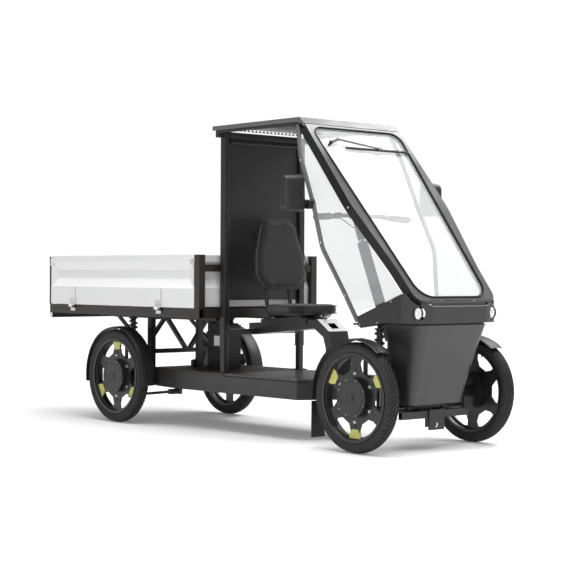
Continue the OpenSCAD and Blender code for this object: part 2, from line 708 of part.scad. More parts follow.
module handlebar() placed() color("#242424") {
    on_column() translate([0, 0, column_l - 165]) difference() {
        cylinder(h = 150, r = 20);
        translate([0, 0, -1]) cylinder(h = 94, r = axle_r + fit);
    }
    translate([1590, -26, 1200]) cube([48, 52, 40]);
    both_sides() {
        rod(bar(0), bar(345), 11);
        rod(bar(230), bar(345), 17);
        translate(bar(186, -6, -12)) cube([30, 26, 20]);
        translate(bar(199, 0, -14)) translate([0, -9, 0]) cube([49, 18, 4]);
        translate(bar(199, 40, -12)) cylinder(h = 22, r = 4);
    }
}

module brake_lever(side) placed() color("#303030") on_side(side) difference() {
    union() {
        translate(bar(199, 40, -9)) cylinder(h = 12, r = 9);
        rod(bar(199, 40, -3), bar(250, 60, -3), 5);
        rod(bar(250, 60, -3), bar(322, 56, -3), 5);
        translate(bar(250, 60, -8)) cylinder(h = 10, r = 5.5);
        translate(bar(322, 56, -9)) cylinder(h = 12, r = 7);
    }
    translate(bar(199, 40, -30)) cylinder(h = 60, r = 4 + fit);
}

// ---------- wiper ----------

module wiper() placed() color("#181818") on_screen() {
    translate([142, -263, -8]) cylinder(h = 24, r = 7);
    translate([142, -263, 10]) cylinder(h = 10, r = 11);
    translate([0, 0, 12]) linear_extrude(6)
        polygon([[136, -268], [148, -258], [119, -187], [105, -193]]);
    translate([0, 0, 12]) linear_extrude(5)
        polygon([[106, -196], [118, -192], [166, 92], [172, 96], [154, 96], [156, 90]]);
    translate([163, 88, 6]) cylinder(h = 10, r = 5);
    translate([158, -160, 2]) cube([12, 475, 7]);
}

// ---------- seat ----------

// Children drawn in the seat's frame, tilted with the slope of the seat beam.
module on_seat() translate([1000, 0, 627.5]) rotate([0, -seat_slope, 0]) children();

// Children drawn upright and leaned back about the top of the backrest.
module on_back() translate([985, 0, back_z]) rotate([0, -back_lean, 0])
    translate([-985, 0, -back_z]) children();

// Sliding base with two bent tubes that carry the backrest.
module seat_carriage() placed() color("#2a2a2a") {
    on_seat() {
        translate([-90, -77, 0.4]) cube([400, 154, 9]);
        translate([-60, -98, 8]) cube([350, 196, 10]);
        both_sides() {
            translate([-80, 71, -26]) cube([380, 6, 30]);
            translate([300, 8, 0.4]) cube([52, 20, 24]);
        }
        translate([338, 30, 14]) rotate([90, 0, 0]) cylinder(h = 60, r = 5);
    }
    translate([1040, -60, 646]) cube([210, 120, 27.7]);
    both_sides() {
        rod([1070, 88, 650], [1003, 88, 657], 11);
        rod([1009, 88, 651], [985, 88, 706], 10.5);
    }
    on_back() both_sides() {
        rod([921.5, 88, 696], [914, 88, 1120], 11);
        shaft_x(88, 860, 910, 933, 8);
        shaft_x(88, 1080, 908, 933, 8);
    }
}

seat_pad_plan = rounded([[1018, -150], [1018, 150], [1290, 190], [1334, 130], [1334, -130],
                         [1290, -190]], [50, 50, 60, 70, 70, 60]);

module seat_pad() placed() color("#1b1b1b")
    translate([0, 0, 674]) linear_extrude(seat_z - 674) polygon(seat_pad_plan);

back_outline = rounded([[806, -150], [900, -196], [1000, -188], [back_z, -158], [back_z, 158],
                        [1000, 188], [900, 196], [806, 150]],
                       [60, 90, 300, 110, 110, 300, 90, 60]);

module seat_back() placed() color("#1e1e1e") on_back()
    translate([985, 0, 0]) rotate([0, -90, 0]) linear_extrude(52) polygon(back_outline);

module seat_lever() placed() color("#c8c8c8") on_seat() difference() {
    union() {
        translate([338, 7, 14]) rotate([90, 0, 0]) cylinder(h = 14, r = 9);
        translate([338, -6, 11]) cube([66, 12, 6]);
    }
    translate([338, 20, 14]) rotate([90, 0, 0]) cylinder(h = 40, r = 5 + fit);
}

// ---------- mirrors ----------

mirror_plan = rounded([[1666, 458], [1666, 594], [1704, 590], [1718, 528], [1704, 462]],
                      [6, 10, 16, 40, 12]);

module mirror_head(side) placed() color("#1e1e1e") on_side(side) difference() {
    union() {
        translate([0, 0, 1304]) linear_extrude(112) polygon(mirror_plan);
        translate([0, 0, 1228]) linear_extrude(10) polygon(mirror_plan);
        translate([0, 0, 1238]) linear_extrude(66)
            polygon([[1668, 480], [1668, 594], [1702, 588], [1712, 530], [1700, 480]]);
        translate([1690, 452, 1304]) cylinder(h = 14, r = 12);
        translate([1690, 452, 1226]) cylinder(h = 13, r = 12);
    }
    translate([1690, 452, 1200]) cylinder(h = 200, r = 6 + fit);
}

// ---------- nodes ----------

battery_box();
battery_pack();
deck_rear();
deck_lid();
rear_truss();
seat_beam();
front_subframe();
bed_frame();
bed_floor();
headboard();
cab_frame();
bulkhead();
roof_panel();
windscreen_frame();
windscreen();
side_windows();
nose_band();
nose_bucket();
headlights();
skirts();
pedal_generator();
steering_shaft();
handlebar();
brake_lever(-1);  // brake_lever_r
brake_lever(1);  // brake_lever_l
front_arm(-1);  // front_arm_r
front_arm(1);  // front_arm_l
knuckle(-1);  // knuckle_r
knuckle(1);  // knuckle_l
front_fender(-1);  // front_fender_r
front_fender(1);  // front_fender_l
tyre(wheelbase, -1);  // tyre_fr
tyre(wheelbase, 1);  // tyre_fl
tyre(0, -1);  // tyre_rr
tyre(0, 1);  // tyre_rl
wheel(wheelbase, -1);  // wheel_fr
wheel(wheelbase, 1);  // wheel_fl
wheel(0, -1);  // wheel_rr
wheel(0, 1);  // wheel_rl
rear_arm(-1);  // rear_arm_r
rear_arm(1);  // rear_arm_l
rear_fender(-1);  // rear_fender_r
rear_fender(1);  // rear_fender_l
front_shock(-1);  // shock_fr
front_shock(1);  // shock_fl
rear_shock(-1);  // shock_rr
rear_shock(1);  // shock_rl
crankset();
pedal(-1);  // pedal_r
pedal(1);  // pedal_l
wiper();
drop_side(-1);  // drop_side_r
drop_side(1);  // drop_side_l
tailgate();
seat_carriage();
seat_pad();
seat_back();
seat_lever();
mirror_head(-1);  // mirror_r
mirror_head(1);  // mirror_l
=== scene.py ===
import bmesh
import bpy
from math import copysign, cos, pi, radians, sin, tan
from mathutils import Matrix, Vector


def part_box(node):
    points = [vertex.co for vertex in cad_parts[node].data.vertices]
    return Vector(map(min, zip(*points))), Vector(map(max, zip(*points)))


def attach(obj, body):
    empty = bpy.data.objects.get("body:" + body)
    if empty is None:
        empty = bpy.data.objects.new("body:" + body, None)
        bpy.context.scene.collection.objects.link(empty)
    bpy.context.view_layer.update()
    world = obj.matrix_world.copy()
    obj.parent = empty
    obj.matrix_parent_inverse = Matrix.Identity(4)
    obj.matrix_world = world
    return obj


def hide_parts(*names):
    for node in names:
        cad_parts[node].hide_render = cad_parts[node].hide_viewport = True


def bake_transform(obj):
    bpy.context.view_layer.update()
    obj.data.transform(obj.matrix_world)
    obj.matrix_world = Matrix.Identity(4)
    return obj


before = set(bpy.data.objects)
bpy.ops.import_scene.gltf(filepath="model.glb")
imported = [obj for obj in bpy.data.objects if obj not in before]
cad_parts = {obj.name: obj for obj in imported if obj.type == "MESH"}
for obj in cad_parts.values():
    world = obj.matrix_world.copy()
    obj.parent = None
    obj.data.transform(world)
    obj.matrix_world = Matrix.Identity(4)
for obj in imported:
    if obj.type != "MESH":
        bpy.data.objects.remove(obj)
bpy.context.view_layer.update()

# Places are given in millimetres from the rear axle, as on the CAD model: x forwards, y left, z up.
MM = 0.001
REAR_AXLE_X = (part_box("tyre_rr")[0][0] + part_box("tyre_rr")[1][0]) / 2 / MM
WHEELBASE = (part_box("tyre_fr")[0][0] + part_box("tyre_fr")[1][0]) / 2 / MM - REAR_AXLE_X
TYRE_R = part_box("tyre_rr")[1][2] / MM / 2
HALF_TRACK = (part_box("tyre_rl")[0][1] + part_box("tyre_rl")[1][1]) / 2 / MM
SIDES = ((-1, "right", "r"), (1, "left", "l"))


def at(x, y, z):
    """A place in the row's frame, in metres."""
    return Vector(((x + REAR_AXLE_X) * MM, y * MM, z * MM))


def add_object(name, data):
    obj = bpy.data.objects.new(name, data)
    bpy.context.scene.collection.objects.link(obj)
    return obj


def settle(target, **settings):
    """Gives target its settings, each a named property."""
    for name, value in settings.items():
        setattr(target, name, value)
    return target


# ---- materials

class Paint:
    """A new material: its principled shader and the nodes that feed it."""

    def __init__(self, name):
        self.mat = bpy.data.materials.new(name)
        self.mat.use_nodes = True
        self.tree = self.mat.node_tree
        self.shader = next(n for n in self.tree.nodes if n.type == "BSDF_PRINCIPLED")
        self.place = self.node("TexCoord").outputs["Object"]

    def fill(self, node, values):
        """Sets the node's named inputs, or links those whose value is another node's output."""
        for socket, value in values.items():
            if isinstance(value, bpy.types.NodeSocket):
                self.tree.links.new(value, node.inputs[socket])
            else:
                node.inputs[socket].default_value = value
        return node

    def surface(self, tone, rough, **others):
        """Feeds the shader; the others are socket names with their spaces as underscores."""
        named = {socket.replace("_", " "): value for socket, value in others.items()}
        self.fill(self.shader, {"Base Color": tone, "Roughness": rough, **named})

    def node(self, kind, values=None):
        return self.fill(self.tree.nodes.new("ShaderNode" + kind), values or {})

    def math(self, operation, *values):
        node = self.node("Math", dict(enumerate(values)))
        node.operation = operation
        return node.outputs[0]

    def noise(self, scale, detail=3.0, stretch=None):
        place = self.place
        if stretch:
            place = self.node("Mapping", {"Scale": stretch, "Vector": place}).outputs["Vector"]
        return self.node("TexNoise", {"Scale": scale, "Detail": detail, "Vector": place}).outputs["Fac"]

    def wave(self, direction, scale, distortion):
        wave = self.node("TexWave", {"Scale": scale, "Distortion": distortion, "Vector": self.place})
        wave.bands_direction = direction
        return wave.outputs["Fac"]

    def to_range(self, value, low, high, from_low=0.3, from_high=0.7):
        return self.node("MapRange", {"Value": value, "From Min": from_low, "From Max": from_high,
                                      "To Min": low, "To Max": high}).outputs["Result"]

    def blend(self, factor, a, b):
        """Colour a where factor is 0 and b where it is 1."""
        node = self.node("Mix")
        node.data_type = "RGBA"
        self.fill(node, {"Factor": factor, "A": a, "B": b})
        return node.outputs["Result"]

    def patches(self, factor, colour, darker, lighter):
        """The colour between a darker and a lighter share of itself."""
        low, high = ((*(min(1.0, c * share) for c in colour), 1) for share in (darker, lighter))
        return self.blend(factor, low, high)

    def facing(self, axis):
        """How far the surface faces along axis, from -1 to 1."""
        dot = self.node("VectorMath", {0: self.node("NewGeometry").outputs["Normal"], 1: axis})
        dot.operation = "DOT_PRODUCT"
        return dot.outputs["Value"]

    def bump(self, height, strength, distance, under=None):
        bump = self.node("Bump", {"Strength": strength, "Distance": distance, "Height": height})
        if under:
            self.fill(bump, {"Normal": under})
        self.fill(self.shader, {"Normal": bump.outputs["Normal"]})
        return bump.outputs["Normal"]


def finish(name, colour, rough, metal=0.0, spread=0.12, patch=6.0, grain=700.0, grain_depth=0.00025,
           rough_spread=0.08, coat=0.0, stretch=None, bump=0.35, glow=0.0):
    """A surface with slow patches in its colour and gloss and a fine grain."""
    paint = Paint(name)
    slow = paint.noise(patch, 5.0, stretch)
    paint.surface(paint.patches(paint.to_range(slow, 0, 1), colour, 1 - spread, 1 + spread),
                  paint.to_range(slow, rough - rough_spread, rough + rough_spread), Metallic=metal)
    if coat:
        paint.fill(paint.shader, {"Coat Weight": coat, "Coat Roughness": 0.2})
    if glow:
        paint.fill(paint.shader, {"Emission Color": WHITE, "Emission Strength": glow})
    paint.bump(paint.noise(grain, 2.0, stretch), bump, grain_depth)
    return paint.mat


def glazing(name, colour, alpha):
    """A clear tinted sheet."""
    paint = Paint(name)
    slow = paint.noise(3.0)
    tone = paint.patches(slow, colour, 0.92, 1.08)
    paint.surface(tone, paint.to_range(slow, 0.03, 0.07), Alpha=alpha, IOR=1.5)
    return paint.mat


def cloth(name, colour):
    """Upholstery with a plain weave seen in its bump, and slow patches in its tone."""
    paint = Paint(name)
    across, along, upright = (paint.wave(direction, 330.0, 0.6) for direction in "XYZ")
    weave = paint.math("ADD", paint.math("ADD", across, along), upright)
    slow = paint.to_range(paint.noise(14.0, 4.0), 0, 1)
    paint.surface(paint.patches(slow, colour, 0.8, 1.35), 0.88, Sheen_Weight=0.25)
    paint.bump(paint.to_range(weave, 0, 1, 0.6, 2.4), 0.6, 0.0006)
    return paint.mat


def plywood_face(name, colour):
    """Film-faced plywood: its edges show thin plies."""
    paint = Paint(name)
    grain = paint.noise(9.0, 6.0, (2.0, 24.0, 60.0))
    tone = paint.patches(paint.to_range(grain, 0, 1), colour, 0.75, 1.4)
    paint.surface(tone, paint.to_range(grain, 0.42, 0.6))
    plies = paint.bump(paint.wave("Z", 110.0, 1.2), 0.12, 0.0006)
    paint.bump(paint.noise(420.0), 0.3, 0.0003, plies)
    return paint.mat


def moulded(paint, tone, patch, rough, spread, specular):
    """The tone, gloss and fine grain that the moulded and powder coated parts share."""
    gloss = paint.to_range(paint.noise(patch, 4.0), rough - spread, rough + spread)
    paint.surface(tone, gloss, Specular_IOR_Level=specular)
    paint.bump(paint.noise(800.0), 0.3, 0.0003)
    return paint.mat


def painted_light_by_facing(name, colour, other, rough, axis, low, high):
    """A paint whose tone runs from colour to other with how far the surface faces along axis; the change is
    painted light and shade, not the paint's own colour.
    """
    paint = Paint(name)
    away = paint.facing(axis)
    if axis[1]:
        away = paint.math("ABSOLUTE", away)
    tone = paint.blend(paint.to_range(away, 0, 1, low, high), (*colour, 1), (*other, 1))
    return moulded(paint, tone, 4.0, rough, 0.05, 0.5)


def screen_moulding_painted_light(name, header, pillar, side, rough):
    """The windscreen's frame: a grey header, a painted reflection, that fades with height into dark pillars,
    and painted shade that makes the sides darker.
    """
    paint = Paint(name)
    height = paint.node("SeparateXYZ", {0: paint.place}).outputs["Z"]
    # Faces turned away from the screen's front get painted shade; the header's grey is a painted reflection
    # fading with height.
    outward = paint.to_range(paint.facing(SCREEN_OUT), 0, 1, 0.8, 0.97)
    front = paint.blend(paint.to_range(height, 0, 1, 1.50, 1.70), (*pillar, 1), (*header, 1))
    return moulded(paint, paint.blend(outward, (*side, 1), front), 5.0, rough, 0.06, 0.22)


WHITE = (1, 1, 1, 1)
UP = (0, 0, 1)
ALONG = (1, 0, 0)
ACROSS = (0, 1, 0)
SCREEN_TILT = radians(50.2)
SCREEN_DOWN = Vector((cos(SCREEN_TILT), 0, -sin(SCREEN_TILT)))
SCREEN_OUT = Vector((sin(SCREEN_TILT), 0, cos(SCREEN_TILT)))

BLACK = finish("black_powder_coat", (0.011, 0.011, 0.0115), 0.4, coat=0.05)
RAIL = finish("brown_black_rail", (0.017, 0.014, 0.0125), 0.4, spread=0.2, patch=9, coat=0.05)
CHASSIS = finish("dark_grey_sheet", (0.026, 0.026, 0.027), 0.42, spread=0.1)
PLY = plywood_face("film_faced_plywood", (0.030, 0.018, 0.015))
LID = finish("grey_lid", (0.042, 0.042, 0.042), 0.36, spread=0.08, stretch=(1, 14, 14), patch=10)
# Bed panels: light grey paint, with a painted highlight near white on faces turned upwards.
PANEL = painted_light_by_facing("light_panel_coat_painted_top_light", (0.72, 0.722, 0.725), (0.97, 0.97, 0.97), 0.42, UP, 0.1, 0.35)
# Seat beam: black powder coat, with a painted highlight in light grey on faces turned upwards.
BEAM = painted_light_by_facing("beam_powder_coat_painted_highlight", (0.013, 0.013, 0.0135), (0.62, 0.62, 0.62), 0.36, UP, 0.25, 0.85)
HOOP = finish("grey_side_tube", (0.10, 0.10, 0.102), 0.4, spread=0.08, coat=0.05)
DARK_BOARD = finish("bulkhead_laminate", (0.014, 0.014, 0.0145), 0.45, spread=0.2)
ROOF = finish("roof_grey_coat", (0.10, 0.10, 0.103), 0.34, spread=0.06, coat=0.15)
# Windscreen frame: the grey header is a painted reflection and the darker sides are painted shade.
SCREEN = screen_moulding_painted_light("screen_moulding_painted_light", header=(0.38, 0.38, 0.385), pillar=(0.022, 0.022, 0.023),
                         side=(0.012, 0.012, 0.0125), rough=0.45)
GLASS = glazing("tinted_glass", (0.55, 0.56, 0.565), 0.30)
SIDE_GLASS = glazing("side_window_sheet", (0.60, 0.61, 0.62), 0.26)
# Nose: faces turned to the sides get painted shade, darker than the front.
NOSE = painted_light_by_facing("nose_moulding_painted_side_shade", (0.034, 0.034, 0.0355), (0.012, 0.012, 0.0125), 0.42, ACROSS,
                       0.45, 0.85)
PLASTIC = finish("black_plastic", (0.010, 0.010, 0.010), 0.46, spread=0.2, grain=900)
RUBBER = finish("tyre_rubber", (0.014, 0.014, 0.014), 0.72, spread=0.25, patch=20, grain=1200, bump=0.5)
SEAL = finish("black_seal_rubber", (0.005, 0.005, 0.005), 0.5, spread=0.2)
CAST = finish("black_cast_wheel", (0.010, 0.010, 0.0105), 0.36, grain=500, coat=0.1)
YELLOW = finish("yellow_film", (0.52, 0.50, 0.13), 0.45, spread=0.06, grain=900)
STEEL = finish("bright_steel", (0.55, 0.55, 0.54), 0.3, metal=1.0, spread=0.06, grain=900, patch=30)
ALLOY = finish("dark_alloy", (0.10, 0.10, 0.103), 0.35, metal=0.9, spread=0.1)
BRIGHT_ALLOY = finish("bright_alloy", (0.7, 0.7, 0.71), 0.25, metal=1.0, spread=0.05)
MOTOR = finish("motor_case", (0.018, 0.018, 0.0185), 0.42, metal=0.3, grain=350, grain_depth=0.0006)
GRIP = finish("grip_rubber", (0.009, 0.009, 0.009), 0.65, spread=0.25, grain=900)
FABRIC = cloth("seat_cloth", (0.009, 0.009, 0.010))
PIPING = finish("seat_piping", (0.006, 0.006, 0.006), 0.55, spread=0.2)
WHITE_PLASTIC = finish("white_cap", (0.75, 0.75, 0.74), 0.4, spread=0.04)
REFLECTOR = finish("lamp_reflector", (0.95, 0.95, 0.96), 0.25, metal=0.1, spread=0.03, patch=40, glow=0.7)
LENS = glazing("lamp_lens", (0.95, 0.96, 0.97), 0.30)
AMBER = finish("amber_reflector", (0.75, 0.22, 0.02), 0.25, spread=0.1, coat=0.5, grain=300,
               grain_depth=0.001)
MIRROR = finish("mirror_glass", (0.86, 0.87, 0.88), 0.04, metal=1.0, spread=0.02, rough_spread=0.02,
                bump=0.02)


# ---- shape helpers

def frame_along(axis):
    axis = Vector(axis).normalized()
    side = axis.orthogonal().normalized()
    return side, axis.cross(side), axis


def fillet(points, radius, steps=6):
    """The polyline with each inner corner rounded by an arc."""
    points = [Vector(p) for p in points]
    out = [points[0]]
    for a, b, c in zip(points, points[1:], points[2:]):
        u, v = (a - b).normalized(), (c - b).normalized()
        half = u.angle(v) / 2
        if half > radians(89):
            out.append(b)
            continue
        reach = min(radius / tan(half), (a - b).length * 0.49, (c - b).length * 0.49)
        r = reach * tan(half)
        centre = b + (u + v).normalized() * (r / sin(half))
        start, end = b + u * reach - centre, b + v * reach - centre
        for k in range(steps + 1):
            out.append(centre + start.lerp(end, k / steps).normalized() * r)
    return out + [points[-1]]


def rounded(points, radii, steps=6):
    """The closed outline with its corners rounded, as 2D points."""
    n = len(points)
    out = []
    for i in range(n):
        a, b, c = (Vector((*points[(i + k) % n], 0)) for k in (-1, 0, 1))
        r = radii[i] if isinstance(radii, (list, tuple)) else radii
        if r <= 0:
            out.append((b.x, b.y))
            continue
        part = fillet([a, b, c], r, steps)[1:-1]
        out += [(p.x, p.y) for p in part]
    return out


def mirrored(points):
    return list(points) + [(x, -y) for x, y in reversed(points)]


def grown(outline, share):
    """The outline scaled about the mean of its points."""
    middle_a, middle_b = (sum(p[i] for p in outline) / len(outline) for i in (0, 1))
    return [(middle_a + (a - middle_a) * share, middle_b + (b - middle_b) * share) for a, b in outline]


def turns(count):
    """Evenly spaced angles once round."""
    return [2 * pi * k / count for k in range(count)]


def circle(centre, u, v, radius, sides, flat=1.0):
    return [centre + u * (radius * cos(t)) + v * (radius * flat * sin(t)) for t in turns(sides)]


def on_side(side, low, high):
    """The corners of a box given for the left, on the chosen side."""
    near, far = sorted((side * low[1], side * high[1]))
    return (low[0], near, low[2]), (high[0], far, high[2])


class Shape:
    """Gathers geometry, in millimetres from the rear axle, into one piece."""

    def __init__(self):
        self.bm = bmesh.new()

    def vert(self, p):
        return self.bm.verts.new(Vector(p))

    def face(self, verts):
        if len(set(verts)) > 2:
            try:
                self.bm.faces.new(verts)
            except ValueError:
                pass

    def loft(self, rings, closed=True, caps=True):
        rows = [[self.vert(p) for p in ring] for ring in rings]
        n = len(rows[0])
        for low, high in zip(rows, rows[1:]):
            for i in range(n if closed else n - 1):
                j = (i + 1) % n
                self.face([low[i], low[j], high[j], high[i]])
        if caps:
            self.face(list(reversed(rows[0])))
            self.face(rows[-1])
        return self

    def box(self, low, high):
        x0, y0, z0 = low
        x1, y1, z1 = high
        ring = [(x0, y0), (x1, y0), (x1, y1), (x0, y1)]
        return self.loft([[(x, y, z0) for x, y in ring], [(x, y, z1) for x, y in ring]])

    def slab(self, centre, size, u, v):
        """A block about centre, with size along u, v and their normal."""
        u, v = Vector(u).normalized(), Vector(v).normalized()
        w = u.cross(v)
        c = Vector(centre)
        ring = [(-1, -1), (1, -1), (1, 1), (-1, 1)]
        rows = [[c + u * (a * size[0] / 2) + v * (b * size[1] / 2) + w * (k * size[2] / 2) for a, b in ring]
                for k in (-1, 1)]
        return self.loft(rows)

    def path(self, points, radius, sides=14, flat=1.0, closed=False):
        points = [Vector(p) for p in points]
        count = len(points)
        rings = []
        side = None
        for i in range(count):
            if closed:
                along = points[(i + 1) % count] - points[i - 1]
            else:
                along = points[min(i + 1, count - 1)] - points[max(i - 1, 0)]
            along.normalize()
            side = frame_along(along)[0] if side is None else (side - along * side.dot(along)).normalized()
            other = along.cross(side)
            r = radius(i / (count - 1)) if callable(radius) else radius
            rings.append(circle(points[i], side, other, r, sides, flat))
        if closed:
            rings.append(rings[0])
        return self.loft(rings, caps=not closed)

    def rod(self, p, q, radius, sides=20):
        return self.path([p, q], radius, sides)

    def lathe(self, profile, origin, axis, sides=48, closed=False):
        """profile is a list of (radius, height) turned about axis through origin."""
        side, other, along = frame_along(axis)
        origin = Vector(origin)
        rows = [circle(origin + along * h, side, other, max(r, 0.01), sides) for r, h in profile]
        if closed:
            rows.append(rows[0])
        return self.loft(rows, caps=not closed)

    def bolt(self, place, axis, r, h=None, hexagon=False):
        """A domed or hexagonal head with its flange."""
        h = h or r * 0.8
        if hexagon:
            self.lathe([(r * 1.35, 0), (r * 1.35, h * 0.2), (r * 1.02, h * 0.22)], place, axis, 20)
            top = Vector(place) + Vector(axis).normalized() * h * 0.2
            return self.lathe([(r, 0), (r, h * 0.7), (r * 0.85, h * 0.8)], top, axis, 6)
        return self.lathe([(r, 0), (r, h * 0.35), (r * 0.85, h * 0.75), (r * 0.5, h), (r * 0.42, h * 0.6),
                           (0, h * 0.55)], place, axis, 16)

    def piece(self, name, material, slot, body="chassis", bevel=0.0, crease=38, replaces=(), ride=True):
        """Turns the gathered geometry into one object that moves with its body."""
        bmesh.ops.remove_doubles(self.bm, verts=self.bm.verts, dist=0.005)
        bmesh.ops.recalc_face_normals(self.bm, faces=self.bm.faces)
        for v in self.bm.verts:
            v.co = at(*v.co)
        mesh = bpy.data.meshes.new(name)
        self.bm.to_mesh(mesh)
        self.bm.free()
        obj = add_object(name, mesh)
        soften(obj, bevel, crease)
        mesh.materials.append(material)
        if ride:
            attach(obj, body)
        if replaces:
            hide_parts(*replaces)
        return obj


def soften(obj, bevel, crease):
    """Smooth shading with sharp edges above the crease angle, and small bevels on them."""
    mesh = obj.data
    mesh.polygons.foreach_set("use_smooth", [True] * len(mesh.polygons))
    mesh.set_sharp_from_angle(angle=radians(crease))
    if bevel:
        settle(obj.modifiers.new("soft_edges", "BEVEL"), width=bevel * MM, segments=2, limit_method="ANGLE",
               angle_limit=radians(crease), harden_normals=False)


def dress(node, material, bevel=0.0):
    """A CAD node keeps its shape and gets its finish and softened edges."""
    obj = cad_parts[node]
    obj.data.materials.clear()
    obj.data.materials.append(material)
    soften(obj, bevel, 30)


def screen_point(down, across, out=0.0):
    """A place on the windscreen's plane: distance down the slope, across, and outwards."""
    return Vector((1596, across, 1695)) + SCREEN_DOWN * down + SCREEN_OUT * out


# ---- CAD nodes that stay

for material, bevel, nodes in (
        (CHASSIS, 2.0, "battery_box"), (PLY, 0.8, "deck_rear bed_floor"), (LID, 1.2, "deck_lid"),
        (BLACK, 1.5, "rear_truss front_subframe"), (BEAM, 0.8, "seat_beam"), (RAIL, 1.2, "bed_frame"),
        (PANEL, 0.6, "headboard drop_side_r drop_side_l tailgate"), (DARK_BOARD, 0.8, "bulkhead"),
        (ROOF, 0.8, "roof_panel"), (SCREEN, 1.2, "windscreen_frame"), (GLASS, 0, "windscreen"),
        (SIDE_GLASS, 0, "side_windows"), (NOSE, 0.8, "nose_band"), (NOSE, 1.0, "skirts"),
        (MOTOR, 1.0, "pedal_generator battery_pack"), (STEEL, 0, "steering_shaft"),
        (ALLOY, 0, "brake_lever_r brake_lever_l"),
        (BLACK, 1.0, "front_arm_r front_arm_l knuckle_r knuckle_l"),
        (CAST, 1.6, "wheel_fr wheel_fl wheel_rr wheel_rl"), (BLACK, 1.2, "rear_arm_r rear_arm_l"),
        (ALLOY, 1.0, "crankset"), (PLASTIC, 0.8, "wiper"), (BLACK, 0.8, "seat_carriage"),
        (BRIGHT_ALLOY, 0.8, "seat_lever")):
    for node in nodes.split():
        dress(node, material, bevel)


# ---- wheels

WHEELS = (("fr", WHEELBASE, -1, "wheel_front_right"), ("fl", WHEELBASE, 1, "wheel_front_left"),
          ("rr", 0, -1, "wheel_rear_right"), ("rl", 0, 1, "wheel_rear_left"))
CARCASS = ((219, 26), (226, 26.2), (230, 27.5), (236, 31), (243, 33.6), (250, 35.2), (251, 35.8), (253, 35.8),
           (254, 35.0), (262, 32), (268, 27), (272, 19), (274.5, 9), (275.2, 0))

# Each row of tread blocks: from and to across the tyre, and its shift as a share of the pitch.
TREAD_ROWS = ((-34.5, -25.5, 0.5), (-23, -14.5, 0), (-12, -1.2, 0.5), (1.2, 12, 0), (14.5, 23, 0.5),
              (25.5, 34.5, 0))


def tread_radius(y):
    """Radius of the tread's outer surface at distance y from the tyre's middle."""
    y = abs(y)
    return TYRE_R - 0.0085 * y * y - (0 if y < 24 else 0.09 * (y - 24) ** 1.6)


def build_tyre(tag, x, side, body):
    shape = Shape()
    centre = Vector((x, side * HALF_TRACK, TYRE_R))
    inner = [(262, 0), (258, 18), (250, 27), (238, 27), (228, 18), (219, 18)]
    profile = list(CARCASS) + [(r, -y) for r, y in reversed(CARCASS[:-1])]
    profile += [(r, -y) for r, y in reversed(inner)] + [(r, y) for r, y in inner[1:]]
    shape.lathe(profile, centre, ACROSS, 96, closed=True)
    blocks = 62
    pitch = 2 * pi / blocks
    for low, high, offset in TREAD_ROWS:
        skew = copysign(0.16, low + high) * pitch
        for i in range(blocks):
            start, end = pitch * (i + offset + 0.10), pitch * (i + offset + 0.86)
            rings = []
            for lift in (-9.0, 0.0):
                ring = []
                for a, y in ((start + skew, low), (end + skew, low), (end - skew, high),
                             (start - skew, high)):
                    r = tread_radius(y) + lift
                    ring.append(centre + Vector((r * cos(a), y, r * sin(a))))
                rings.append(ring)
            shape.loft(rings)
    shape.piece("tyre_" + tag + "_tread", RUBBER, "tyre_rubber", body, crease=30, replaces=("tyre_" + tag,))


def build_wheel_details(tag, x, side, body):
    centre = Vector((x, side * HALF_TRACK, TYRE_R))
    out = Vector((0, side, 0))
    patches, nuts, lines = Shape(), Shape(), Shape()

    def on_wheel(r, angle, depth):
        return centre + Vector((r * cos(angle), 0, r * sin(angle))) + out * depth

    patch = [(160, -0.13), (160, 0.13), (186, 0.20), (209, 0.20), (209, -0.20), (186, -0.20)]
    for degrees in (30, 150, 270) if tag[0] == "f" else (90, 210, 330):
        a = radians(degrees)
        patches.loft([[on_wheel(r, a + t, depth) for r, t in patch] for depth in (9.0, 11.2)])
    patches.piece("spoke_patches_" + tag, YELLOW, "wheel_cast", body, bevel=0.6)
    for k in range(6):
        a = radians(30 + 60 * k)
        nuts.bolt(on_wheel(122, a, 10), out, 7.5, 9, hexagon=True)
        lines.path([on_wheel(112, a, 9.5), on_wheel(136, a, 11), on_wheel(156, a, 9.5)], 4.5, 10, 0.8)
    for k in range(8):
        nuts.bolt(on_wheel(94, radians(22.5 + 45 * k), 41), out, 2.6, 2)
    nuts.piece("wheel_nuts_" + tag, STEEL, "steel", body)
    for r in (99, 80, 30):
        lines.path([on_wheel(r, t, 41) for t in turns(64)], 1.3, 8, closed=True)
    lines.path([on_wheel(214, t, 12) for t in turns(72)], 5.0, 10, closed=True)
    valve = on_wheel(208, radians(75), 14)
    lines.rod(valve, valve + (centre - valve).normalized() * 26 + out * 12, 3.2, 10)
    lines.piece("wheel_ribs_" + tag, CAST, "wheel_cast", body)


for tag, x, side, body in WHEELS:
    build_tyre(tag, x, side, body)
    build_wheel_details(tag, x, side, body)


# ---- mudguards

# The mudguards' crown and the edge of their rolled lips, as radii about the axle.
GUARD_R = 298.5
GUARD_LIP_R = 291.8


